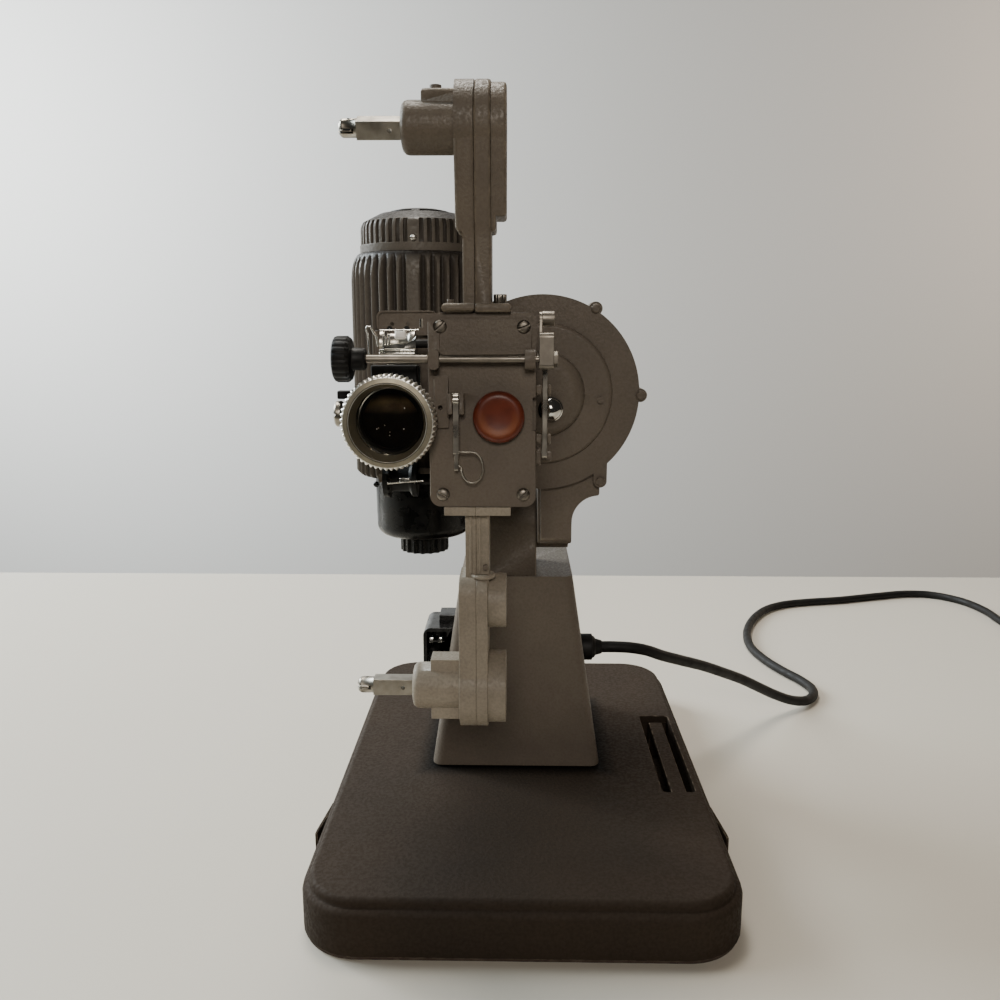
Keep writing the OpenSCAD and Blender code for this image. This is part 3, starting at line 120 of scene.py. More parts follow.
class ProjectorColours(bpy.types.PropertyGroup):
    """Colours, as sRGB hex."""

    paint: bpy.props.StringProperty(
        name="Casting paint", description="Middle tone of the enamel on the castings", default="#625950")
    paint_light: bpy.props.StringProperty(
        name="Casting paint, light", description="Rubbed tone of the same enamel", default="#6C6358")
    paint_dark: bpy.props.StringProperty(
        name="Casting paint, dark", description="Tone of the enamel in its pits", default="#403932")
    base: bpy.props.StringProperty(
        name="Base paint", description="Middle tone of the base's enamel", default="#2F2822")
    jewel: bpy.props.StringProperty(
        name="Pilot jewel", description="Body colour of the pilot light's jewel", default="#6A2D1A")


# Nodes and finishes


def linear(text):
    """An sRGB hex value as a linear colour."""
    part = [int(text[i:i + 2], 16) / 255 for i in (1, 3, 5)]
    return (*[c / 12.92 if c <= 0.04045 else ((c + 0.055) / 1.055) ** 2.4 for c in part], 1.0)


def add(tree, kind, settings=None, links=None):
    """One node with its settings and links; a setting is a property or a socket's own value."""
    made = tree.nodes.new(kind)
    for key, value in (settings or {}).items():
        if key == "stops":
            while len(made.color_ramp.elements) < len(value):
                made.color_ramp.elements.new(0.5)
            for element, (place, colour) in zip(made.color_ramp.elements, value):
                element.position, element.color = place, colour
        elif isinstance(key, str) and hasattr(made, key):
            setattr(made, key, value)
        else:
            made.inputs[key].default_value = value
    for key, source in (links or {}).items():
        tree.links.new(source, made.inputs[key])
    return made


def surface(name, **sockets):
    """A new material, its tree, its shader and its object coordinates."""
    made = bpy.data.materials.new(name)
    made.use_nodes = True
    tree = made.node_tree
    shader = tree.nodes["Principled BSDF"]
    for key, value in sockets.items():
        shader.inputs[key.replace("_", " ")].default_value = value
    return made, tree, shader, add(tree, "ShaderNodeTexCoord").outputs["Object"]


def feed(tree, shader, **sources):
    """Links what drives the shader to its sockets."""
    for key, source in sources.items():
        tree.links.new(source, shader.inputs[key.replace("_", " ")])


def blend_of(tree, factor, first, second, kind="MIX"):
    """Colour that goes from first to second with factor."""
    links = {k: v for k, v in ((0, factor), (6, first), (7, second)) if hasattr(v, "is_linked")}
    settings = {k: v for k, v in ((0, factor), (6, first), (7, second)) if not hasattr(v, "is_linked")}
    return add(tree, "ShaderNodeMix", {"data_type": "RGBA", "blend_type": kind, **settings}, links).outputs[2]


def noise_of(tree, where, size_mm, detail=2.0, low=0.4, high=0.6):
    """Noise with spots of about this size, stretched between two levels to 0..1."""
    cloud = add(tree, "ShaderNodeTexNoise", {"Scale": 1000 / size_mm, "Detail": detail}, {"Vector": where})
    return add(tree, "ShaderNodeMapRange", {1: low, 2: high}, {0: cloud.outputs["Fac"]}).outputs[0]


def enamel(name, tones, speck_mm=1.3, patch_mm=34, rough=0.46, lift=0.22, bare="#9A8D7A", groove=None,
           pitted=0.16, wear=0.5, shine=0.24, foot=None):
    """Air-dried hammer enamel over a sand casting: blotched tone, fine pits, rubbed thin on its edges."""
    dark, middle, light = (linear(t) for t in tones)
    made, tree, shader, where = surface(name, Roughness=rough, Specular_IOR_Level=shine)
    patches = noise_of(tree, where, patch_mm, 4, 0.3, 0.72)
    specks = noise_of(tree, where, speck_mm, 3, 0.38, 0.66)
    tone = blend_of(tree, patches, middle, light)
    pits = add(tree, "ShaderNodeMath", {"operation": "MULTIPLY", 1: pitted}, {0: specks})
    tone = blend_of(tree, pits.outputs[0], tone, dark)
    if groove:
        # Painted shade lies at the foot of the cooling fins
        centred = add(tree, "ShaderNodeMapping", {"Location": (-groove[0] * MM, -groove[1] * MM, 0)},
                      {"Vector": where})
        flat = add(tree, "ShaderNodeVectorMath", {"operation": "MULTIPLY", 1: (1, 1, 0)},
                   {0: centred.outputs[0]})
        radius = add(tree, "ShaderNodeVectorMath", {"operation": "LENGTH"}, {0: flat.outputs[0]})
        deep = add(tree, "ShaderNodeMapRange", {1: groove[2] * MM, 2: groove[3] * MM}, {0: radius.outputs["Value"]})
        tone = blend_of(tree, deep.outputs[0], linear("#2A2521"), tone)
    if foot:
        # Painted contact shadow lies on the base round the pedestal's foot, given by its middle and half widths
        moved = add(tree, "ShaderNodeVectorMath", {"operation": "SUBTRACT", 1: point(*foot[:2], 0)}, {0: where})
        apart = add(tree, "ShaderNodeVectorMath", {"operation": "ABSOLUTE"}, {0: moved.outputs[0]})
        beyond = add(tree, "ShaderNodeVectorMath", {"operation": "SUBTRACT", 1: point(*foot[2:], 0)},
                     {0: apart.outputs[0]})
        axes = add(tree, "ShaderNodeSeparateXYZ", {}, {0: beyond.outputs[0]})
        far = add(tree, "ShaderNodeMath", {"operation": "MAXIMUM"}, {0: axes.outputs["X"], 1: axes.outputs["Y"]})
        out_of_foot_shadow = add(tree, "ShaderNodeMapRange", {1: 0.5 * MM, 2: 11 * MM}, {0: far.outputs[0]})
        tone = blend_of(tree, out_of_foot_shadow.outputs[0], linear("#0E0C0A"), tone)
    rubbed = add(tree, "ShaderNodeAttribute", {"attribute_name": "edge"})
    thin = add(tree, "ShaderNodeMath", {"operation": "MULTIPLY", 1: wear},
               {0: noise_of(tree, where, 4.5, 4, 0.42, 0.66)})
    worn = add(tree, "ShaderNodeMath", {"operation": "MULTIPLY"},
               {0: rubbed.outputs["Fac"], 1: thin.outputs[0]})
    tone = blend_of(tree, worn.outputs[0], tone, linear(bare))
    gloss = add(tree, "ShaderNodeMapRange", {3: rough - 0.1, 4: rough + 0.16}, {0: specks})
    crackle = add(tree, "ShaderNodeTexVoronoi", {"feature": "SMOOTH_F1", "Scale": 1000 / 2.1},
                  {"Vector": where})
    rise = add(tree, "ShaderNodeMath", {"operation": "MULTIPLY_ADD", 1: 0.7},
               {0: crackle.outputs["Distance"], 2: specks})
    relief = add(tree, "ShaderNodeBump", {"Strength": lift, "Distance": 0.0003},
                 {"Height": rise.outputs[0]})
    feed(tree, shader, Base_Color=tone, Roughness=gloss.outputs[0], Normal=relief.outputs[0])
    return made


def metal(name, colour, rough=0.2, smear=0.12, grain=None, dirt="#4A443C", dirty=0.25):
    """Plated or turned metal: a bright body, fingerprints that dull it, and grime in patches."""
    made, tree, shader, where = surface(name, Metallic=1.0)
    spots = noise_of(tree, where, 5, 4, 0.35, 0.75)
    share = add(tree, "ShaderNodeMath", {"operation": "MULTIPLY", 1: dirty}, {0: spots})
    tone = blend_of(tree, share.outputs[0], linear(colour), linear(dirt))
    dull = add(tree, "ShaderNodeMapRange", {3: rough, 4: rough + smear}, {0: noise_of(tree, where, 8, 3, 0.4, 0.7)})
    feed(tree, shader, Base_Color=tone, Roughness=dull.outputs[0])
    if grain:
        lines = add(tree, "ShaderNodeMapping", {"Scale": grain}, {"Vector": where})
        streaks = add(tree, "ShaderNodeTexNoise", {"Scale": 2500.0, "Detail": 2.0}, {"Vector": lines.outputs[0]})
        relief = add(tree, "ShaderNodeBump", {"Strength": 0.12, "Distance": 0.0001},
                     {"Height": streaks.outputs["Fac"]})
        feed(tree, shader, Normal=relief.outputs[0])
    return made


def moulded(name, colour, rough=0.3, dust=0.15, grain_mm=0.8, lift=0.08, shine=0.5):
    """Pressed phenolic or rubber: near black, with a skin of dust that dulls the shine in places."""
    made, tree, shader, where = surface(name, Specular_IOR_Level=shine)
    film = noise_of(tree, where, 7, 4, 0.45, 0.75)
    share = add(tree, "ShaderNodeMath", {"operation": "MULTIPLY", 1: dust}, {0: film})
    tone = blend_of(tree, share.outputs[0], linear(colour), linear("#7C746A"))
    dull = add(tree, "ShaderNodeMapRange", {3: rough, 4: min(rough + 0.25, 1)}, {0: film})
    skin = add(tree, "ShaderNodeTexNoise", {"Scale": 1000 / grain_mm, "Detail": 3.0}, {"Vector": where})
    relief = add(tree, "ShaderNodeBump", {"Strength": lift, "Distance": 0.0002},
                 {"Height": skin.outputs["Fac"]})
    feed(tree, shader, Base_Color=tone, Roughness=dull.outputs[0], Normal=relief.outputs[0])
    return made


FINISH = {}


def make_finishes(colours):
    """Every finish of the projector, by the name that the pieces ask for."""
    tones = (colours.paint_dark, colours.paint, colours.paint_light)
    # Grey-taupe hammer enamel: blotched, pitted, rubbed pale along the edges
    FINISH["casting"] = enamel("Hammer_enamel_taupe", tones)
    # The same enamel on the lower reel arms, a paler, leathery crackle: partly rubbed by handling, partly painted
    # light for the brighter light they catch
    FINISH["arm"] = enamel("Hammer_enamel_handled_and_lit", (colours.paint_dark, "#857C6E", "#9A9081"),
                           patch_mm=22, lift=0.26, pitted=0.18, wear=0.3)
    # The same crackle on the upper arm, out of reach and darker than on the lower arms, whose paler tone is partly
    # painted light
    FINISH["upper_arm"] = enamel("Hammer_enamel_crackled", (colours.paint_dark, "#645B50", "#71675A"),
                                 patch_mm=22, lift=0.26, pitted=0.2)
    # The enamel baked by the lamp, with painted shade in the grooves between the fins and in those of the cap
    for part, depths in (("fins", (33.6, 35.8)), ("cap", (28.6, 30.4))):
        FINISH[part] = enamel("Hammer_enamel_on_" + part, (colours.paint_dark, "#5F5850", "#6A645B"),
                              speck_mm=1.6, groove=(*LAMP, *depths))
    # Dark brown crackle enamel on the pressed base, worn to a pale line round its rim, with painted contact shadow
    # round the pedestal's foot
    FINISH["base"] = enamel("Crackle_enamel_brown", ("#1F1A15", colours.base, "#362D25"),
                            speck_mm=1.8, patch_mm=70, rough=0.68, lift=0.3, bare="#8A7C6B", wear=0.75,
                            shine=0.08, foot=PEDESTAL_FOOT)
    # Polished chromium plate: hard bright reflections, faint smears
    FINISH["chrome"] = metal("Chromium_plate", "#D9D8D4", 0.06, 0.14, dirty=0.12)
    # Dull nickel on turned steel: soft grey streaks
    FINISH["nickel"] = metal("Dull_nickel_plate", "#A39D92", 0.28, 0.2, (0.15, 1, 1), dirty=0.4)
    # Bare turned aluminium: pale, satin, slightly oxidised
    FINISH["aluminium"] = metal("Turned_aluminium", "#D6D1C4", 0.24, 0.16, (1, 0.2, 1), dirt="#8B8474", dirty=0.35)
    # The bright knurling of the lens ring, worn to a white gleam on its tips
    FINISH["bright"] = metal("Bright_turned_aluminium", "#FAF7EE", 0.34, 0.1, dirty=0.05)
    # The ring's face, anodised to a dull taupe
    FINISH["anodised"] = metal("Dull_anodised_aluminium", "#A39C8A", 0.5, 0.12, (1, 1, 1), dirty=0.3)
    # The cone inside it, an olive lacquer that scatters the light
    FINISH["olive"] = moulded("Olive_lacquer_on_brass", "#5A523F", 0.5, 0.2)
    # Polished plate on the film shoes and their ledges
    FINISH["shoe"] = metal("Polished_nickel_plate", "#EDEAE2", 0.16, 0.14, dirty=0.1)
    # Plate worn grey on the flat levers, with a gleam on their edges
    FINISH["lever"] = metal("Worn_nickel_plate", "#B9B3A8", 0.26, 0.14, dirty=0.3)
    # Ivory phenolic of the film guide block, pale enough to serve also as a painted highlight: the one pale, plain
    # spot above the lens
    FINISH["ivory_and_painted_highlight"] = moulded("Ivory_phenolic_and_painted_highlight", "#EFEBE2", 0.35, 0.05)
    # Grey steel of the control rod, dulled by handling
    FINISH["rod"] = metal("Dull_grey_steel", "#8C857B", 0.42, 0.15, (0.15, 1, 1), dirty=0.4)
    # Blackened brass and steel inside the lens and behind the gate
    FINISH["blackened"] = moulded("Blackened_metal", "#080706", 0.5, 0.03, shine=0.3)
    # Black phenolic moulding: deep gloss under a film of dust
    FINISH["phenolic"] = moulded("Black_phenolic", "#040404", 0.24, 0.008, lift=0.04, shine=0.32)
    # Black rubber of the mains lead: matt, slightly brown with age
    FINISH["rubber"] = moulded("Black_rubber", "#0A0908", 0.55, 0.03, 1.2, 0.15, shine=0.3)
    # Pressed fibre board under the base
    FINISH["board"] = moulded("Fibre_board", "#3B2F26", 0.8, 0.3, 0.6, 0.4)
    # Crown glass over a dark pool; behind it an amber arc of painted reflection, and on it a few sharp glints painted
    # as white specks
    FINISH["glass"] = surface("Bloomed_crown_glass", Base_Color=linear("#C4BBA8"), Roughness=0.02,
                              Transmission_Weight=1.0, IOR=1.52)[0]
    FINISH["painted_reflection"] = dome_with_painted_reflection()
    # Specks of dust on the glass, white so that they also serve as painted glints, drawn at twice their size so that
    # they show
    FINISH["dust"] = surface("House_dust_and_painted_glints", Base_Color=linear("#F4F0E6"), Roughness=0.9)[0]
    FINISH["jewel"] = pilot_jewel(colours.jewel)
    # Frosted glass of the bulb: a soft pale glimmer behind the fins
    FINISH["bulb"] = surface("Frosted_bulb_glass", Base_Color=linear("#C9CCC6"), Roughness=0.35,
                             Transmission_Weight=0.6, IOR=1.5)[0]


def dome_with_painted_reflection():
    """The coated element deep in the barrel: near black, with a band of amber painted reflection in its upper half.
    """
    made, tree, shader, where = surface("Flint_glass_with_painted_reflection", Roughness=0.3, Specular_IOR_Level=0.2)
    # Painted reflection: the amber band lies between two heights above the lens axis, broken up by noise
    apart = add(tree, "ShaderNodeSeparateXYZ", {}, {0: where})
    high = add(tree, "ShaderNodeMapRange", {1: (LENS[1] + 3) * MM, 2: (LENS[1] + 8) * MM},
               {0: apart.outputs["Z"]})
    low = add(tree, "ShaderNodeMapRange", {1: (LENS[1] + 12) * MM, 2: (LENS[1] + 8.5) * MM},
              {0: apart.outputs["Z"]})
    band = add(tree, "ShaderNodeMath", {"operation": "MULTIPLY"}, {0: high.outputs[0], 1: low.outputs[0]})
    cloudy = add(tree, "ShaderNodeMath", {"operation": "MULTIPLY"},
                 {0: band.outputs[0], 1: noise_of(tree, where, 9, 3, 0.2, 0.7)})
    feed(tree, shader, Base_Color=blend_of(tree, cloudy.outputs[0], linear("#2A231B"), linear("#A2947D")))
    return made


def pilot_jewel(colour):
    """Pressed red-amber glass with painted light: an amber crescent painted along its foot where light gathers, and a
    crazed top.
    """
    made, tree, shader, where = surface("Pressed_red_glass", Roughness=0.42, IOR=1.45,
                                        Transmission_Weight=0.1)
    centred = add(tree, "ShaderNodeMapping", {"Location": (-JEWEL[0] * MM, 0, -(JEWEL[2] + 0.6) * MM)},
                  {"Vector": where})
    flat = add(tree, "ShaderNodeVectorMath", {"operation": "MULTIPLY", 1: (1, 0, 1)}, {0: centred.outputs[0]})
    reach = add(tree, "ShaderNodeVectorMath", {"operation": "LENGTH"}, {0: flat.outputs[0]})
    ring = add(tree, "ShaderNodeMapRange", {1: 4.8 * MM, 2: 7.4 * MM, "interpolation_type": "SMOOTHSTEP"},
               {0: reach.outputs["Value"]})
    edge = add(tree, "ShaderNodeMapRange", {1: 10.4 * MM, 2: 8.0 * MM, "interpolation_type": "SMOOTHSTEP"},
               {0: reach.outputs["Value"]})
    apart = add(tree, "ShaderNodeSeparateXYZ", {}, {0: where})
    # Painted light: the crescent is strongest below the jewel's middle and fades out above it
    foot = add(tree, "ShaderNodeMapRange", {1: (JEWEL[2] + 4) * MM, 2: (JEWEL[2] - 6) * MM},
               {0: apart.outputs["Z"]})
    glow = add(tree, "ShaderNodeMath", {"operation": "MULTIPLY"}, {0: ring.outputs[0], 1: foot.outputs[0]})
    glow = add(tree, "ShaderNodeMath", {"operation": "MULTIPLY"}, {0: glow.outputs[0], 1: edge.outputs[0]})
    clouds = noise_of(tree, where, 6, 4, 0.35, 0.7)
    tone = blend_of(tree, clouds, linear(colour), linear("#5A2515"))
    tone = blend_of(tree, glow.outputs[0], tone, linear("#8A4A24"))
    ripple = add(tree, "ShaderNodeTexNoise", {"Scale": 420.0, "Detail": 3.0}, {"Vector": where})
    relief = add(tree, "ShaderNodeBump", {"Strength": 0.15, "Distance": 0.0003},
                 {"Height": ripple.outputs["Fac"]})
    feed(tree, shader, Base_Color=tone, Normal=relief.outputs[0])
    return made


# Meshes


def placed(name, data):
    """A new object in the scene."""
    made = bpy.data.objects.new(name, data)
    bpy.context.scene.collection.objects.link(made)
    return made


def coat(mesh, finish):
    """Gives a mesh its one finish."""
    mesh.materials.clear()
    mesh.materials.append(FINISH[finish])


def object_of(mesh, name, finish, node, replaces=True):
    """A piece made of this mesh, with its finish, that rides with a solid and as a rule replaces it."""
    made = placed(name, mesh)
    coat(mesh, finish)
    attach(made, BODY_OF[node])
    if replaces:
        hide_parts(node)
    return made


def mesh_of(bm, name, smooth=40):
    """The built shape as a mesh, shaded smooth up to this angle."""
    mesh = bpy.data.meshes.new(name)
    bm.to_mesh(mesh)
    bm.free()
    mesh.shade_smooth()
    mesh.set_sharp_from_angle(angle=math.radians(smooth))
    return mesh


def take_in(whole, part):
    """Adds a built shape to another one."""
    mesh = mesh_of(part, "part", 180)
    whole.from_mesh(mesh)
    bpy.data.meshes.remove(mesh)


def result_of(made):
    """What a piece's modifiers make of it, as a plain mesh, with the modifiers taken off."""
    graph = bpy.context.evaluated_depsgraph_get()
    mesh = bpy.data.meshes.new_from_object(made.evaluated_get(graph), depsgraph=graph)
    made.modifiers.clear()
    return mesh


def weighted(made):
    """Normals that keep the flat faces flat beside their rounded edges."""
    made.modifiers.new("Flat faces", "WEIGHTED_NORMAL").keep_sharp = True
    made.data = result_of(made)
    return made


def sound(rounded, skin, reach):
    """Whether a rounded mesh still lies on its solid, with no triangle turned over and nothing sticking out."""
    bm = rounded.copy()
    bmesh.ops.triangulate(bm, faces=bm.faces[:])
    bm.normal_update()
    turned_over = 0
    for f in bm.faces:
        near = skin.find_nearest(f.calc_center_median())
        if near[3] < TOUCHING and near[1].dot(f.normal) < 0.2:
            turned_over += f.calc_area()
    far = max(skin.find_nearest(v.co)[3] for v in bm.verts)
    bm.free()
    return far < reach and turned_over < LET_PASS


def soft_copy(node, finish, round_mm, sharp=32, steps=2):
    """A copy of a solid with its outer edges rounded, marked where hands rub it, in its place."""
    solid = bmesh.new()
    solid.from_mesh(NODES[node].data)
    bmesh.ops.remove_doubles(solid, verts=solid.verts, dist=TOUCHING)
    bmesh.ops.dissolve_limit(solid, angle_limit=math.radians(0.6), verts=solid.verts, edges=solid.edges)
    solid.normal_update()
    skin = BVHTree.FromBMesh(solid)
    for share, least_mm in ROUNDINGS:
        bm, rounded = solid.copy(), set()
        edges = [e for e in bm.edges if len(e.link_faces) == 2 and e.is_convex
                 and e.calc_face_angle(0) > math.radians(sharp) and e.calc_length() > least_mm * MM]
        if share and edges:
            rounded = set(bmesh.ops.bevel(bm, geom=edges, offset=round_mm * share * MM, segments=steps,
                                          profile=0.5, affect="EDGES", clamp_overlap=False,
                                          loop_slide=True)["faces"])
        rub = bm.verts.layers.float.new("edge")
        for v in bm.verts:
            if v.link_faces and all(f in rounded for f in v.link_faces):
                v[rub] = 1.0
        bm.normal_update()
        if not share or sound(bm, skin, round_mm * share * MM):
            break
        bm.free()
    solid.free()
    mesh = mesh_of(bm, node + "_dressed")
    return weighted(object_of(mesh, node + "_dressed", finish, node))


def dress(nodes, finish, round_mm, **more):
    """Soft copies of several solids."""
    for node in nodes:
        soft_copy(node, finish, round_mm, **more)


def bare(nodes, finish):
    """Solids that keep their own mesh and take a finish."""
    for node in nodes:
        coat(NODES[node].data, finish)


def polar(radius, angle, height):
    """A place round Z, in metres."""
    return point(radius * math.cos(angle), radius * math.sin(angle), height)


def skinned(bm, rings):
    """Closes walls between rings of as many points, and both ends."""
    steps = len(rings[0])
    for low, high in zip(rings, rings[1:]):
        for k in range(steps):
            j = (k + 1) % steps
            bm.faces.new((low[k], low[j], high[j], high[k]))
    for ring in (rings[0], rings[-1]):
        bm.faces.new(ring)
    bmesh.ops.recalc_face_normals(bm, faces=bm.faces)
    return bm


def lathe(profile, steps=72):
    """A shape turned round Z from radius and height pairs in millimetres, closed at the axis."""
    bm = bmesh.new()
    rings = []
    for radius, height in profile:
        if radius < 1e-6:
            rings.append([bm.verts.new(point(0, 0, height))])
        else:
            rings.append([bm.verts.new(polar(radius, math.tau * i / steps, height)) for i in range(steps)])
    for low, high in zip(rings, rings[1:]):
        for i in range(steps):
            j = (i + 1) % steps
            ring = [low[i % len(low)], low[j % len(low)], high[j % len(high)], high[i % len(high)]]
            bm.faces.new(list(dict.fromkeys(ring)))
    bmesh.ops.recalc_face_normals(bm, faces=bm.faces)
    return bm


def facing(at, direction=(0, -1, 0)):
    """Puts a shape's own Z along a direction, mostly to the front, at a place in millimetres."""
    turn = Vector(direction).to_track_quat("Z", "Y").to_matrix().to_4x4()
    return Matrix.Translation(point(*at)) @ turn


def built(bm, name, finish, place, node, replaces=True, smooth=40):
    """A piece of this shape in its place."""
    mesh = mesh_of(bm, name, smooth)
    mesh.transform(place)
    return object_of(mesh, name, finish, node, replaces)


def turned(name, profile, finish, place, node, replaces=True, steps=96, smooth=40):
    """A turned piece in its place."""
    built(lathe(profile, steps), name, finish, place, node, replaces, smooth)


def copies_tree(ring):
    """Stands copies of an item round the Z axis, or on given places with each place's own turn."""
    tree = bpy.data.node_groups.new("Copies_round_an_axis" if ring else "Copies_on_places", "GeometryNodeTree")
    keys = {}
    for label, kind in (("Places", "Geometry"), ("Item", "Object"), ("Count", "Int"), ("Step", "Float"),
                        ("Start", "Float"), ("Finish", "Material")):
        keys[label] = tree.interface.new_socket(name=label, in_out="INPUT", socket_type="NodeSocket" + kind)
    tree.interface.new_socket(name="Geometry", in_out="OUTPUT", socket_type="NodeSocketGeometry")
    given = add(tree, "NodeGroupInput").outputs
    if ring:
        places = add(tree, "GeometryNodePoints", {}, {"Count": given["Count"]}).outputs[0]
        index = add(tree, "GeometryNodeInputIndex").outputs[0]
        angle = add(tree, "ShaderNodeMath", {"operation": "MULTIPLY_ADD"},
                    {0: index, 1: given["Step"], 2: given["Start"]}).outputs[0]
    else:
        places = given["Places"]
        angle = add(tree, "GeometryNodeInputNamedAttribute", {"data_type": "FLOAT", "Name": "turn"}).outputs[0]
    turn = add(tree, "ShaderNodeCombineXYZ", {}, {"Z": angle})
    item = add(tree, "GeometryNodeObjectInfo", {}, {"Object": given["Item"]})
    stood = add(tree, "GeometryNodeInstanceOnPoints", {},
                {"Points": places, "Instance": item.outputs["Geometry"], "Rotation": turn.outputs[0]})
    real = add(tree, "GeometryNodeRealizeInstances", {}, {0: stood.outputs[0]})
    last = add(tree, "GeometryNodeSetMaterial", {}, {"Geometry": real.outputs[0], "Material": given["Finish"]})
    add(tree, "NodeGroupOutput", {}, {0: last.outputs[0]})
    return tree, {label: socket.identifier for label, socket in keys.items()}


TREES = {}


def copies(bm, finish, smooth=40, places=None, **ring):
    """Copies of one shape as a plain mesh: on places in millimetres with a turn, or round the Z axis."""
    kind = places is None
    if kind not in TREES:
        TREES[kind] = copies_tree(kind)
    tree, keys = TREES[kind]
    spots = bpy.data.meshes.new("places")
    spots.from_pydata([point(*place[:3]) for place in places or ()], [], [])
    spots.attributes.new("turn", "FLOAT", "POINT").data.foreach_set(
        "value", [math.radians(place[3]) for place in places or ()])
    item, made = placed("item", mesh_of(bm, "item", smooth)), placed("copies", spots)
    modifier = made.modifiers.new("Copies", "NODES")
    modifier.node_group = tree
    for label, value in {"Item": item, "Finish": FINISH[finish], **ring}.items():
        modifier[keys[label]] = value
    mesh = result_of(made)
    for thing in (item, made):
        bpy.data.objects.remove(thing)
    return mesh


def sector(rows, count, ridge, power, steps=8):
    """One groove of a fluted shape, from the middle of one ridge to the middle of the next."""
    bm = bmesh.new()
    top = max(row[0] for row in rows)
    rings = []
    for radius, height, foot in rows:
        ring = []
        for i in range(steps + 1):
            place = i / steps - 0.5
            rise = min(abs(place) * 2 / (1 - ridge), 1)
            reach = min(radius, foot + (top - foot) * rise ** power) if foot else radius
            ring.append(bm.verts.new(polar(reach, math.tau * place / count, height)))
        rings.append(ring)
    for low, high in zip(rings, rings[1:]):
        for i in range(steps):
            bm.faces.new((low[i], low[i + 1], high[i + 1], high[i]))
    return bm


def fluted(rows, count, ridge, finish, wide=None, power=2.4):
    """A shape turned round Z whose wall has hollow grooves; each row is a radius, a height and the
    radius at the foot of a groove. The grooves run out in arches where the wall turns in. One of
    them may be left out, for a wide ridge."""
    step = math.tau / count
    missing = wide is not None
    grooves = copies(sector(rows, count, ridge, power), finish, 180, Count=count - missing, Step=step,
                     Start=(wide + 1) * step if missing else 0.0)
    bm = bmesh.new()
    bm.from_mesh(grooves)
    bpy.data.meshes.remove(grooves)
    if missing:
        plain = sector([(radius, height, 0) for radius, height, foot in rows], count, ridge, power)
        plain.transform(Matrix.Rotation(wide * step, 4, "Z"))
        take_in(bm, plain)
    bmesh.ops.remove_doubles(bm, verts=bm.verts, dist=TOUCHING)
    return bm


def minus(made, *cutters):
    """A piece with these shapes cut out of it."""
    for cutter in cutters:
        modifier = made.modifiers.new("Cut", "BOOLEAN")
        modifier.solver, modifier.operation, modifier.object = "EXACT", "DIFFERENCE", cutter
    made.data = result_of(made)
    for cutter in cutters:
        bpy.data.objects.remove(cutter)
    return made


def loose(bm, place):
    """A shape for cutting with, in its place."""
    mesh = bpy.data.meshes.new("cutter")
    bm.to_mesh(mesh)
    bm.free()
    mesh.transform(place)
    return placed("cutter", mesh)


def box_shape(x, y, z, edge=0.0):
    """A block from pairs of bounds, with rounded edges."""
    bm = bmesh.new()
    bmesh.ops.create_cube(bm, size=1)
    for v in bm.verts:
        v.co = point(*(lo + (hi - lo) * (c + 0.5) for (lo, hi), c in zip((x, y, z), v.co)))
    if edge:
        bmesh.ops.bevel(bm, geom=bm.edges[:], offset=edge * MM, segments=3, profile=0.5, affect="EDGES")
    return bm


def wire_shape(points, radius, steps=10):
    """Round wire through these places, its ends closed."""
    bm = bmesh.new()
    line = [point(*p) for p in points]
    side = (line[1] - line[0]).orthogonal()
    rings = []
    for i, place in enumerate(line):
        ahead = (line[min(i + 1, len(line) - 1)] - line[max(i - 1, 0)]).normalized()
        side = (side - ahead * side.dot(ahead)).normalized()
        other = ahead.cross(side)
        rings.append([bm.verts.new(place + radius * MM * (side * math.cos(a) + other * math.sin(a)))
                      for a in (math.tau * k / steps for k in range(steps))])
    return skinned(bm, rings)


def screw_shape(radius, rise, slot):
    """A round screw head on Z with a slot along X."""
    bm = bmesh.new()
    rows = [(radius, -0.6), (radius, rise * 0.35), (radius * 0.93, rise * 0.62), (radius * 0.75, rise * 0.84),
            (radius * 0.45, rise * 0.97), (0, rise)]
    for side in (1, -1):
        half = lathe(rows, 32)
        cut = bmesh.ops.bisect_plane(half, geom=half.verts[:] + half.edges[:] + half.faces[:],
                                     plane_co=(0, side * slot / 2 * MM, 0), plane_no=(0, side, 0),
                                     clear_inner=True)["geom_cut"]
        walls = bmesh.ops.extrude_edge_only(half, edges=[g for g in cut if isinstance(g, bmesh.types.BMEdge)])
        for g in walls["geom"]:
            if isinstance(g, bmesh.types.BMVert):
                g.co.z = -0.6 * MM
        take_in(bm, half)
    take_in(bm, lathe([(radius * 0.98, -0.6), (radius * 0.98, rise * 0.1), (0, rise * 0.1)], 32))
    return bm


def joined(shapes, name):
    """One mesh from several shapes."""
    whole = bmesh.new()
    for bm in shapes:
        take_in(whole, bm)
    return mesh_of(whole, name)


# Routes


def curve_through(points, parts):
    """Points along a smooth line through the given ones."""
    line = []
    last = len(points) - 1
    for i in range(last):
        a, b, c, d = (Vector(points[max(0, min(last, i + k))]) for k in (-1, 0, 1, 2))
        for k in range(parts):
            t = k / parts
            line.append(0.5 * (2 * b + (c - a) * t + (2 * a - 5 * b + 4 * c - d) * t * t
                               + (3 * b - a - 3 * c + d) * t ** 3))
    return line + [Vector(points[-1])]


def coil_line(steps):
    """The turns of the coil: inwards below, up in the half turn at the middle, and out above."""
    c = COIL
    inner = c["out"] - c["low"] * c["pitch"]
    line = []
    for i in range(int((c["low"] + 0.5 + c["high"]) * steps) + 1):
        t = i / steps
        rise = min(max((t - c["low"]) / 0.5, 0), 1)
        if t < c["low"]:
            radius = c["out"] - c["pitch"] * t
        elif t < c["low"] + 0.5:
            radius = inner - c["pitch"] * min(t - c["low"], c["low"] + 0.5 - t)
        else:
            radius = inner + c["pitch"] * (t - c["low"] - 0.5)
        a = math.tau * t - math.pi / 2
        line.append(Vector((c["x"] + radius * math.cos(a), c["y"] + radius * math.sin(a),
                            LEAD_R + (2 * LEAD_R + 0.7) * rise)))
    return line


# Operators


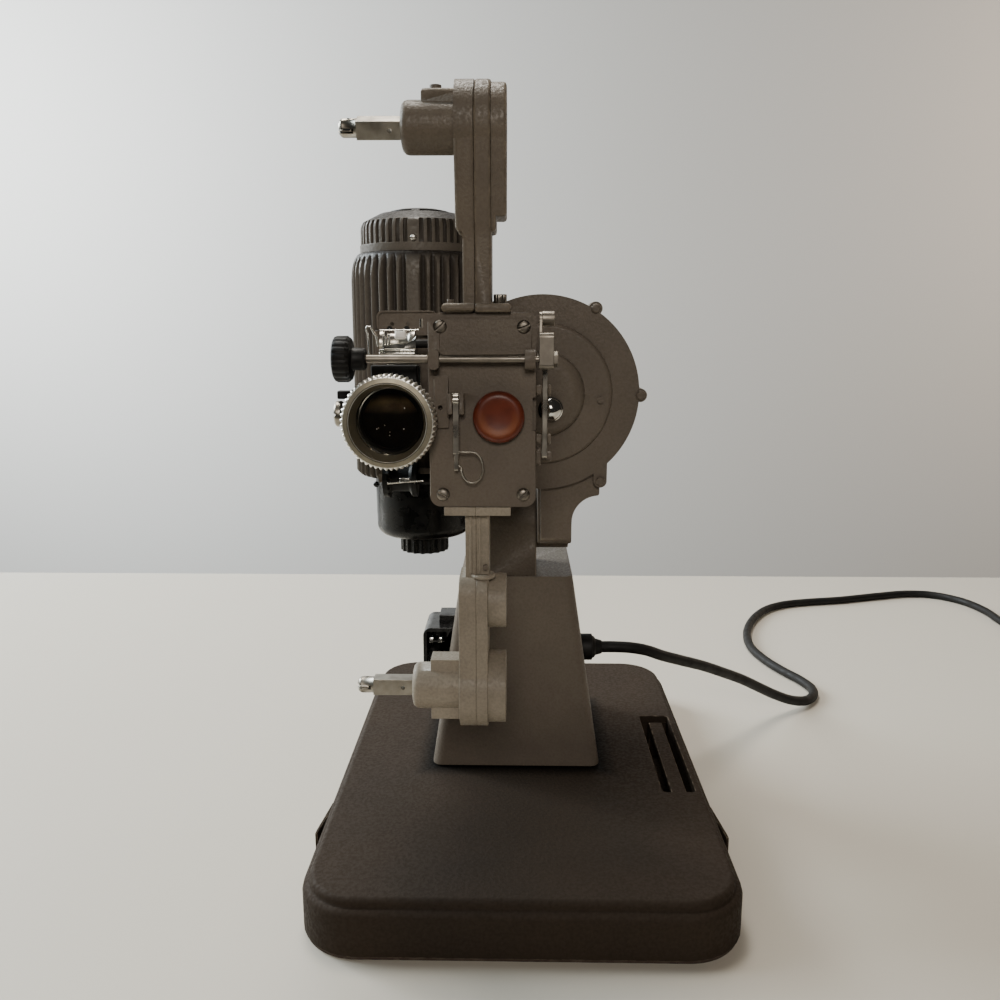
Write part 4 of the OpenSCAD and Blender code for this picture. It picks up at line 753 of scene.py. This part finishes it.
class PROJECTOR_OT_camera(bpy.types.Operator):
    """Sets the camera at the photograph's angle"""

    bl_idname = "projector.camera"
    bl_label = "Camera"

    def execute(self, context):
        data = bpy.data.cameras.new("Camera")
        data.lens, data.sensor_width = 32.4, 36
        data.clip_start, data.clip_end = 0.01, 20
        made = placed("Camera", data)
        made.location = point(*CAMERA)
        made.rotation_euler = (math.radians(90 - CAMERA_DOWN), 0, math.radians(CAMERA_LEFT))
        context.scene.camera = made
        return {"FINISHED"}


class PROJECTOR_OT_lead(bpy.types.Operator):
    """Lays the mains lead: down from its gland, over the table, and into its coil"""

    bl_idname = "projector.lead"
    bl_label = "Mains lead"

    def execute(self, context):
        turns = coil_line(steps=48)
        line = curve_through(LEAD_POINTS, parts=6) + turns
        line += [turns[-1] + Vector((0, COIL["lead"] * k / 4, 0)) for k in (1, 2, 3, 4)]
        curve = bpy.data.curves.new("mains_lead", "CURVE")
        curve.dimensions = "3D"
        curve.bevel_depth = LEAD_R * MM
        curve.bevel_resolution = 4
        curve.use_fill_caps = True
        spline = curve.splines.new("POLY")
        spline.points.add(len(line) - 1)
        for target, place in zip(spline.points, line):
            target.co = (*(place * MM), 1)
        made = placed("mains_lead", curve)
        curve.materials.append(FINISH["rubber"])
        spline.use_smooth = True
        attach(made, "base")
        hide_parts("mains_cord", "cord_coil")
        plug = soft_copy("plug", "rubber", 0.6)
        tie = soft_copy("cord_tie", "rubber", 0.4)
        return {"FINISHED"}


class PROJECTOR_OT_castings(bpy.types.Operator):
    """Rounds and paints the castings of the head, arms and pedestal"""

    bl_idname = "projector.castings"
    bl_label = "Castings"

    def execute(self, context):
        edge = context.scene.projector_sizes.edge
        dress(["pedestal", "head_casting", "gear_case", "motor_body"], "casting", edge)
        dress(["fan_cover", "bearing_cap", "motor_end_bell", "link_bracket"], "casting", 0.6)
        dress(["front_plate"], "casting", 0.5)
        dress(["upper_arm_left", "upper_arm_right"], "upper_arm", 1.6 * edge)
        dress(["lower_arm_left", "lower_arm_right"], "arm", 1.6 * edge)
        return {"FINISHED"}


class PROJECTOR_OT_base(bpy.types.Operator):
    """Paints the base, its handle and its side hooks"""

    bl_idname = "projector.base"
    bl_label = "Base"

    def execute(self, context):
        dress(["base_shell"], "base", 0.6, sharp=50)
        dress(["cover_hooks", "carry_handle"], "base", 0.8)
        dress(["base_board"], "board", 0.4)
        return {"FINISHED"}


class PROJECTOR_OT_lamp_house(bpy.types.Operator):
    """Finishes the finned lamp house, its cap, bowl and bulb"""

    bl_idname = "projector.lamp_house"
    bl_label = "Lamp house"

    def execute(self, context):
        fins = context.scene.projector_sizes.fins
        rows = [(22, 214, 0), (34.5, 214, 33.7), (36.5, 216, 33.7), (36.5, 314, 33.7)]
        rows += [(31.5 + 5 * math.cos(a), 315 + 15 * math.sin(a), 33.7)
                 for a in (math.radians(d) for d in range(0, 91, 6))]
        rows += [(20, 330, 0), (20, 326, 0), (31, 326, 0), (31, 218, 0), (22, 218, 0), (22, 214, 0)]
        bm = fluted(rows, fins, ridge=0.2, finish="fins", wide=round(fins * 0.75))
        bmesh.ops.recalc_face_normals(bm, faces=bm.faces)
        middle = Matrix.Translation(point(*LAMP, 0))
        house = built(bm, "lamp_house_fins", "fins", middle, "lamp_house", smooth=30)
        minus(house, loose(lathe([(0, -50), (11.6, -50), (11.6, 0), (0, 0)]),
                           facing((LENS[0], LAMP[1], LENS[1]), (0, 1, 0))),
              loose(box_shape((-37.3, -7.3), (-44, -24), (236, 280)), Matrix.Identity(4)))
        dress(["lamp_cap"], "cap", 0.35)
        dress(["lamp_bowl", "bowl_knob"], "phenolic", 0.5)
        bare(["lamp_bulb"], "bulb")
        return {"FINISHED"}


class PROJECTOR_OT_lens(bpy.types.Operator):
    """Finishes the lens, its holder and the gate"""

    bl_idname = "projector.lens"
    bl_label = "Lens and gate"

    def execute(self, context):
        trim = context.scene.projector_sizes.trim_edge
        dress(["lens_holder"], "blackened", 0.6)
        dress(["lens_barrel"], "blackened", trim)
        front = facing((LENS[0], RING_Y, LENS[1]))
        teeth = context.scene.projector_sizes.teeth
        # Heights run out of the front of the ring, so what lies behind it is below zero
        bm = fluted([(18.9, -12, 0), (20, -12, 0), (21, -10.6, 20.2), (21.1, -3, 20.2), (20.7, -1.9, 20),
                     (20, -1.2, 19.7), (19.6, -1.1, 0), (18.9, -1.3, 0)], teeth, ridge=0.25, finish="bright", power=2)
        built(bm, "lens_ring_teeth", "bright", front, "lens_ring", smooth=50)
        for part, finish, profile in (
            ("face", "anodised", [(18.95, -12), (18.95, -1.2), (19.5, -1.0), (19.4, -0.75), (18.2, -0.35),
                                  (17.55, -0.2), (17.45, -0.35), (17.45, -1.2)]),
            ("groove", "blackened", [(17.5, -1.15), (17.2, -1.15)]),
            ("lip", "bright", [(17.25, -1.2), (17.25, -0.3), (17.15, -0.14), (16.98, -0.14), (16.85, -0.4)]),
            ("cone", "olive", [(16.86, -0.38), (15.2, -7.0), (15.1, -8.4), (15.1, -11.5), (18.9, -12)]),
        ):
            turned("lens_ring_" + part, profile, finish, front, "lens_ring")
        turned("front_element", [(0, -7.3), (5, -7.4), (10, -7.8), (13.5, -8.2), (15.05, -8.5), (15.05, -9.8),
                                 (10, -9.2), (5, -8.8), (0, -8.6)], "glass", front, "front_glass", smooth=60)
        turned("inner_element", [(0, -9.4), (4, -9.7), (8, -10.9), (11, -12.5), (14.6, -15), (14.6, -18), (0, -18)],
               "painted_reflection", front, "front_glass", False, smooth=60)
        # White specks of dust on the front glass, which also stand in for painted glints
        specks = copies(lathe([(0, 0.1), (0.22, 0.02), (0.24, -0.3), (0, -0.3)], 10), "dust", places=[
            (x, z, -7.55, 0) for x, z in ((6.8, 6), (-2.1, -1.6), (0.1, -4.6), (0, -6.1), (-5.6, -3.2),
                                          (-4.9, -2.8), (6.3, -3.2))])
        specks.transform(front)
        object_of(specks, "dust_on_glass", "dust", "front_glass", False)
        bare(["condenser"], "glass")
        dress(["focus_knob"], "nickel", trim)
        dress(["pressure_plate"], "chrome", trim)
        # Painted shade: the lower sprocket is given the blackened finish because it sits in shadow below the lens
        dress(["lower_sprocket"], "blackened", 0.2)
        sideways = facing((*SPROCKETS, UPPER_Z), (1, 0, 0))
        turned("upper_sprocket_drum", [(0, 0), (6.1, 0), (6.1, 2), (5.6, 2.6), (5, 3.4), (5, 12.6), (5.6, 13.4),
                                       (6.1, 14), (6.1, 16), (0, 16)], "lever", sideways, "upper_sprocket", steps=48)
        turned("upper_sprocket_shaft", [(0, 15.5), (2, 15.5), (2, 32), (0, 32)], "blackened", sideways,
               "upper_sprocket", steps=32)
        dress(["gate_plate"], "casting", 0.25)
        dress(["shutter"], "blackened", 0.1)
        return {"FINISHED"}


class PROJECTOR_OT_shoes(bpy.types.Operator):
    """Makes the film shoes, their ledges, pins and wires above and below the gate"""

    bl_idname = "projector.shoes"
    bl_label = "Film shoes"

    def execute(self, context):
        trim = context.scene.projector_sizes.trim_edge
        top, low, wire_y = UPPER_Z, LOWER_Z, -116.5
        # A saddle over the sprocket: low in its middle, rising to a horn on the right
        saddle = bmesh.new()
        rows = []
        for i in range(25):
            t = i / 24
            x = -65.4 + 14.2 * t
            crest = top + 0.3 + (2.6 * (2 * abs(t - 0.45)) ** 2.6 if t > 0.45 else 0)
            lean = [(-117.4, top - 2.4), (-117.6, top - 1.6), (-117.0, crest - 0.9), (-116.4, crest - 0.1),
                    (-115.4, crest - 0.1), (-114.6, top - 2.4)]
            rows.append([saddle.verts.new(point(x, y, z)) for y, z in lean])
        parts = [
            skinned(saddle, rows),
            box_shape((-67.8, -51.5), (-117.6, -113.4), (top - 3.1, top - 2.1), trim),
            box_shape((-67.8, -51.5), (-118.2, -113.4), (top - 4.6, top - 3.5), trim),
        ]
        parts += [wire_shape([(x, -116.9, top - 2.6), (x, -117.1, top + 1), (x, -116.8, top + tall)], 0.42)
                  for x, tall in ((-65.6, 4.6), (-64.4, 3.6), (-63.1, 4.2))]
        parts += [
            wire_shape([(x, wire_y, top + high) for x, high in
                        ((-49.8, 6.4), (-56, 6.4), (-64, 6.3), (-67.4, 6.3))], 0.3),
            wire_shape([(-72.4, wire_y, top - 5), (-72.6, wire_y, top + 1), (-72.9, -116.4, top + 5),
                        (-73.8, -116.2, top + 6.6), (-73.2, -116, top + 7.9), (-71.8, -115.8, top + 7.8),
                        (-71, -115.6, top + 6.6), (-69.2, -115.2, top + 3.4), (-68.6, -114.6, top - 1)], 0.42),
            wire_shape([(-48.6, -117, top + 7.6), (-48.6, -117.4, top + 11.4)], 0.75),
            box_shape((-60, -55.2), (-116, -113), (low + 0.6, low + 2.9), 0.4),
            wire_shape([(-49, -114.2, low + 1.4), (-56, -114.2, low + 0.9), (-66, -114.2, low)], 0.5),
        ]
        object_of(joined(parts, "film_shoes"), "film_shoes", "shoe", "film_guides")
        # The ivory guide block, partly a painted highlight, leans 22 degrees about X
        leaning = Matrix.Translation(point(-58.3, -115.4, top + 4)) @ Matrix.Rotation(math.radians(-22), 4, "X")
        block = box_shape((-2.5, 2.5), (-1, 1), (-1.7, 2.1), 0.7)
        built(block, "guide_block", "ivory_and_painted_highlight", leaning, "film_guides", False)
        # Painted shade: black cups on the gate plate stand for two holes that show dark
        hole_shades = copies(lathe([(0, 0.05), (1.25, 0.05), (1.4, -0.1), (1.4, -0.8), (0, -0.8)], 24), "blackened",
                       places=[(x, top + 6.9, 0, 0) for x in (-66.4, -58.2)])
        hole_shades.transform(facing((0, GATE_Y, 0)))
        object_of(hole_shades, "plate_holes", "blackened", "gate_plate", False)
        turned("guide_ball", [(0, -1.4), (0.7, -1.2), (1.2, -0.7), (1.4, 0), (1.2, 0.7), (0.7, 1.2), (0, 1.4)],
               "phenolic", Matrix.Translation(point(-71.2, -114.2, low - 0.4)), "film_guides", False, 24, smooth=80)
        return {"FINISHED"}


class PROJECTOR_OT_trim(bpy.types.Operator):
    """Finishes the knobs, spindles, rods, levers and screws"""

    bl_idname = "projector.trim"
    bl_label = "Controls and trim"

    def execute(self, context):
        trim = context.scene.projector_sizes.trim_edge
        dress(["switch_box", "tilt_knob"], "phenolic", 0.5)
        knob = fluted([(0, 0, 0), (8.6, 0, 0), (9.6, 0.6, 9.3), (10.1, 1.8, 9.7), (10.1, 6.2, 9.7), (9, 7.6, 8.9),
                       (6.2, 7.9, 0), (5.2, 8.3, 0), (4.9, 9.2, 0), (4.9, 12.9, 0), (4.2, 13.9, 0), (1.6, 13.9, 0),
                       (1.6, 1.6, 0), (0, 1.6, 0)], 20, ridge=0.45, finish="blackened", power=2)
        bmesh.ops.recalc_face_normals(knob, faces=knob.faces)
        built(knob, "control_knob_fluted", "blackened", facing(CONTROL_KNOB, (1, 0, 0)), "control_knob", smooth=35)
        dress(["cord_gland"], "rubber", 0.4)
        dress(["lamp_switch", "motor_switch"], "chrome", trim)
        turned("inching_dome", [(0, 0), (6.3, 0), (6.6, 0.3), (6.6, 1.4), (6.3, 1.9), (5.9, 2.1), (5.7, 2.5),
                                (4.8, 3.6), (3.4, 4.7), (1.8, 5.4), (0, 5.7)], "chrome",
               facing(INCHING_KNOB), "inching_knob", steps=64, smooth=50)
        dress(["threading_lever"], "lever", 0.25)
        dress(["upper_latch", "lower_latch"], "chrome", 0.2)
        dress(["upper_spindle", "lower_spindle", "tilt_pin", "thumb_screw", "motor_shaft"], "nickel", 0.25)
        dress(["link_strip"], "lever", 0.25)
        dress(["control_rod"], "rod", 0.25)
        dress(["pedestal_bolts"], "nickel", 0.15)
        heads = copies(screw_shape(2.9, 1.9, 0.95), "rod", places=[(x, z, 0, turn) for x, z, turn in PLATE_SCREWS])
        heads.transform(facing((0, PLATE_Y, 0)))
        object_of(heads, "plate_screw_heads", "rod", "plate_screws")
        dress(["head_screws"], "casting", 0.15)
        built(screw_shape(1.5, 1.1, 0.5), "cap_screw_head", "bright", facing(CAP_SCREW), "head_screws", False)
        dress(["blower_wheel"], "aluminium", 0.1)
        return {"FINISHED"}


class PROJECTOR_OT_jewel(bpy.types.Operator):
    """Turns the pilot light's jewel with its dimple"""

    bl_idname = "projector.jewel"
    bl_label = "Pilot jewel"

    def execute(self, context):
        profile = [(0, 4.7), (2.5, 4.75), (5, 5.0), (7, 5.35), (8.4, 5.55), (9.4, 5.5), (10.4, 5.1),
                   (11.1, 4.3), (11.5, 3.2), (11.5, 0.05), (9.5, 0.0), (9.5, -5.9), (0, -5.9)]
        turned("jewel_glass", profile, "jewel", facing(JEWEL), "jewel")
        return {"FINISHED"}


class PROJECTOR_OT_stage(bpy.types.Operator):
    """Lays the pale table and wall and sets the soft lights"""

    bl_idname = "projector.stage"
    bl_label = "Stage"

    def execute(self, context):
        # Pale satin laminate under the projector, and matt painted plaster far behind it
        for name, material, colour, rough, corners in (
            ("table", "Pale_laminate", "#C6BFB2", 0.5,
             [(-2500, -430, 0), (2500, -430, 0), (2500, 507, 0), (-2500, 507, 0)]),
            ("wall", "Painted_plaster", "#E4E3DE", 0.9,
             [(-5000, 3600, -2500), (5000, 3600, -2500), (5000, 3600, 4500), (-5000, 3600, 4500)]),
        ):
            mesh = bpy.data.meshes.new(name)
            mesh.from_pydata([point(*c) for c in corners], [], [(0, 1, 2, 3)])
            mesh.materials.append(surface(material, Base_Color=linear(colour), Roughness=rough)[0])
            placed(name, mesh)
        for name, place, size, power, tint, aim in (
            ("window", (-1350, 330, 1100), 0.8, 33, (0.84, 0.95, 1.0), (-300, 560, 380)),
            ("ceiling", (-200, 420, 1600), 0.6, 21, (1.0, 0.95, 0.87), (-80, 60, 0)),
            ("backdrop", (-2900, 1700, 1400), 1.4, 205, (0.93, 0.97, 1.0), (-500, 3600, 200)),
            ("glow", (3300, 1900, 1600), 1.4, 48, (1.0, 0.8, 0.62), (2100, 3600, -200)),
            ("room", (0, -1650, 950), 0.45, 12.5, (1.0, 0.93, 0.84), (0, 0, 200)),
        ):
            lamp = bpy.data.lights.new(name, "AREA")
            lamp.shape, lamp.size, lamp.energy, lamp.color = "SQUARE", size, power, tint
            made = placed(name, lamp)
            made.location = point(*place)
            made.rotation_euler = (point(*aim) - made.location).to_track_quat("-Z", "Y").to_euler()
        world = bpy.data.worlds.new("Room")
        context.scene.world = world
        world.use_nodes = True
        sky = world.node_tree.nodes["Background"].inputs
        sky["Color"].default_value, sky["Strength"].default_value = linear("#C9C6C0"), 0.04
        return {"FINISHED"}


class PROJECTOR_PT_pieces(bpy.types.Panel):
    """Lists the projector's pieces in the sidebar"""

    bl_idname = "PROJECTOR_PT_pieces"
    bl_label = "Projector"
    bl_space_type = "VIEW_3D"
    bl_region_type = "UI"
    bl_category = "Projector"

    def draw(self, context):
        for group in (context.scene.projector_sizes, context.scene.projector_colours):
            for name in group.__annotations__:
                self.layout.prop(group, name)
        for step in STEPS:
            self.layout.operator(step.bl_idname)


STEPS = (PROJECTOR_OT_camera, PROJECTOR_OT_lead, PROJECTOR_OT_castings, PROJECTOR_OT_base,
         PROJECTOR_OT_lamp_house, PROJECTOR_OT_lens, PROJECTOR_OT_shoes, PROJECTOR_OT_trim, PROJECTOR_OT_jewel,
         PROJECTOR_OT_stage)
CLASSES = (ProjectorSizes, ProjectorColours, *STEPS, PROJECTOR_PT_pieces)


def register():
    for kind in CLASSES:
        bpy.utils.register_class(kind)
    bpy.types.Scene.projector_sizes = bpy.props.PointerProperty(type=ProjectorSizes)
    bpy.types.Scene.projector_colours = bpy.props.PointerProperty(type=ProjectorColours)


def unregister():
    del bpy.types.Scene.projector_colours
    del bpy.types.Scene.projector_sizes
    for kind in reversed(CLASSES):
        bpy.utils.unregister_class(kind)


def main():
    register()
    make_finishes(bpy.context.scene.projector_colours)
    for step in STEPS:
        group, name = step.bl_idname.split(".")
        getattr(getattr(bpy.ops, group), name)()


if __name__ == "__main__":
    main()
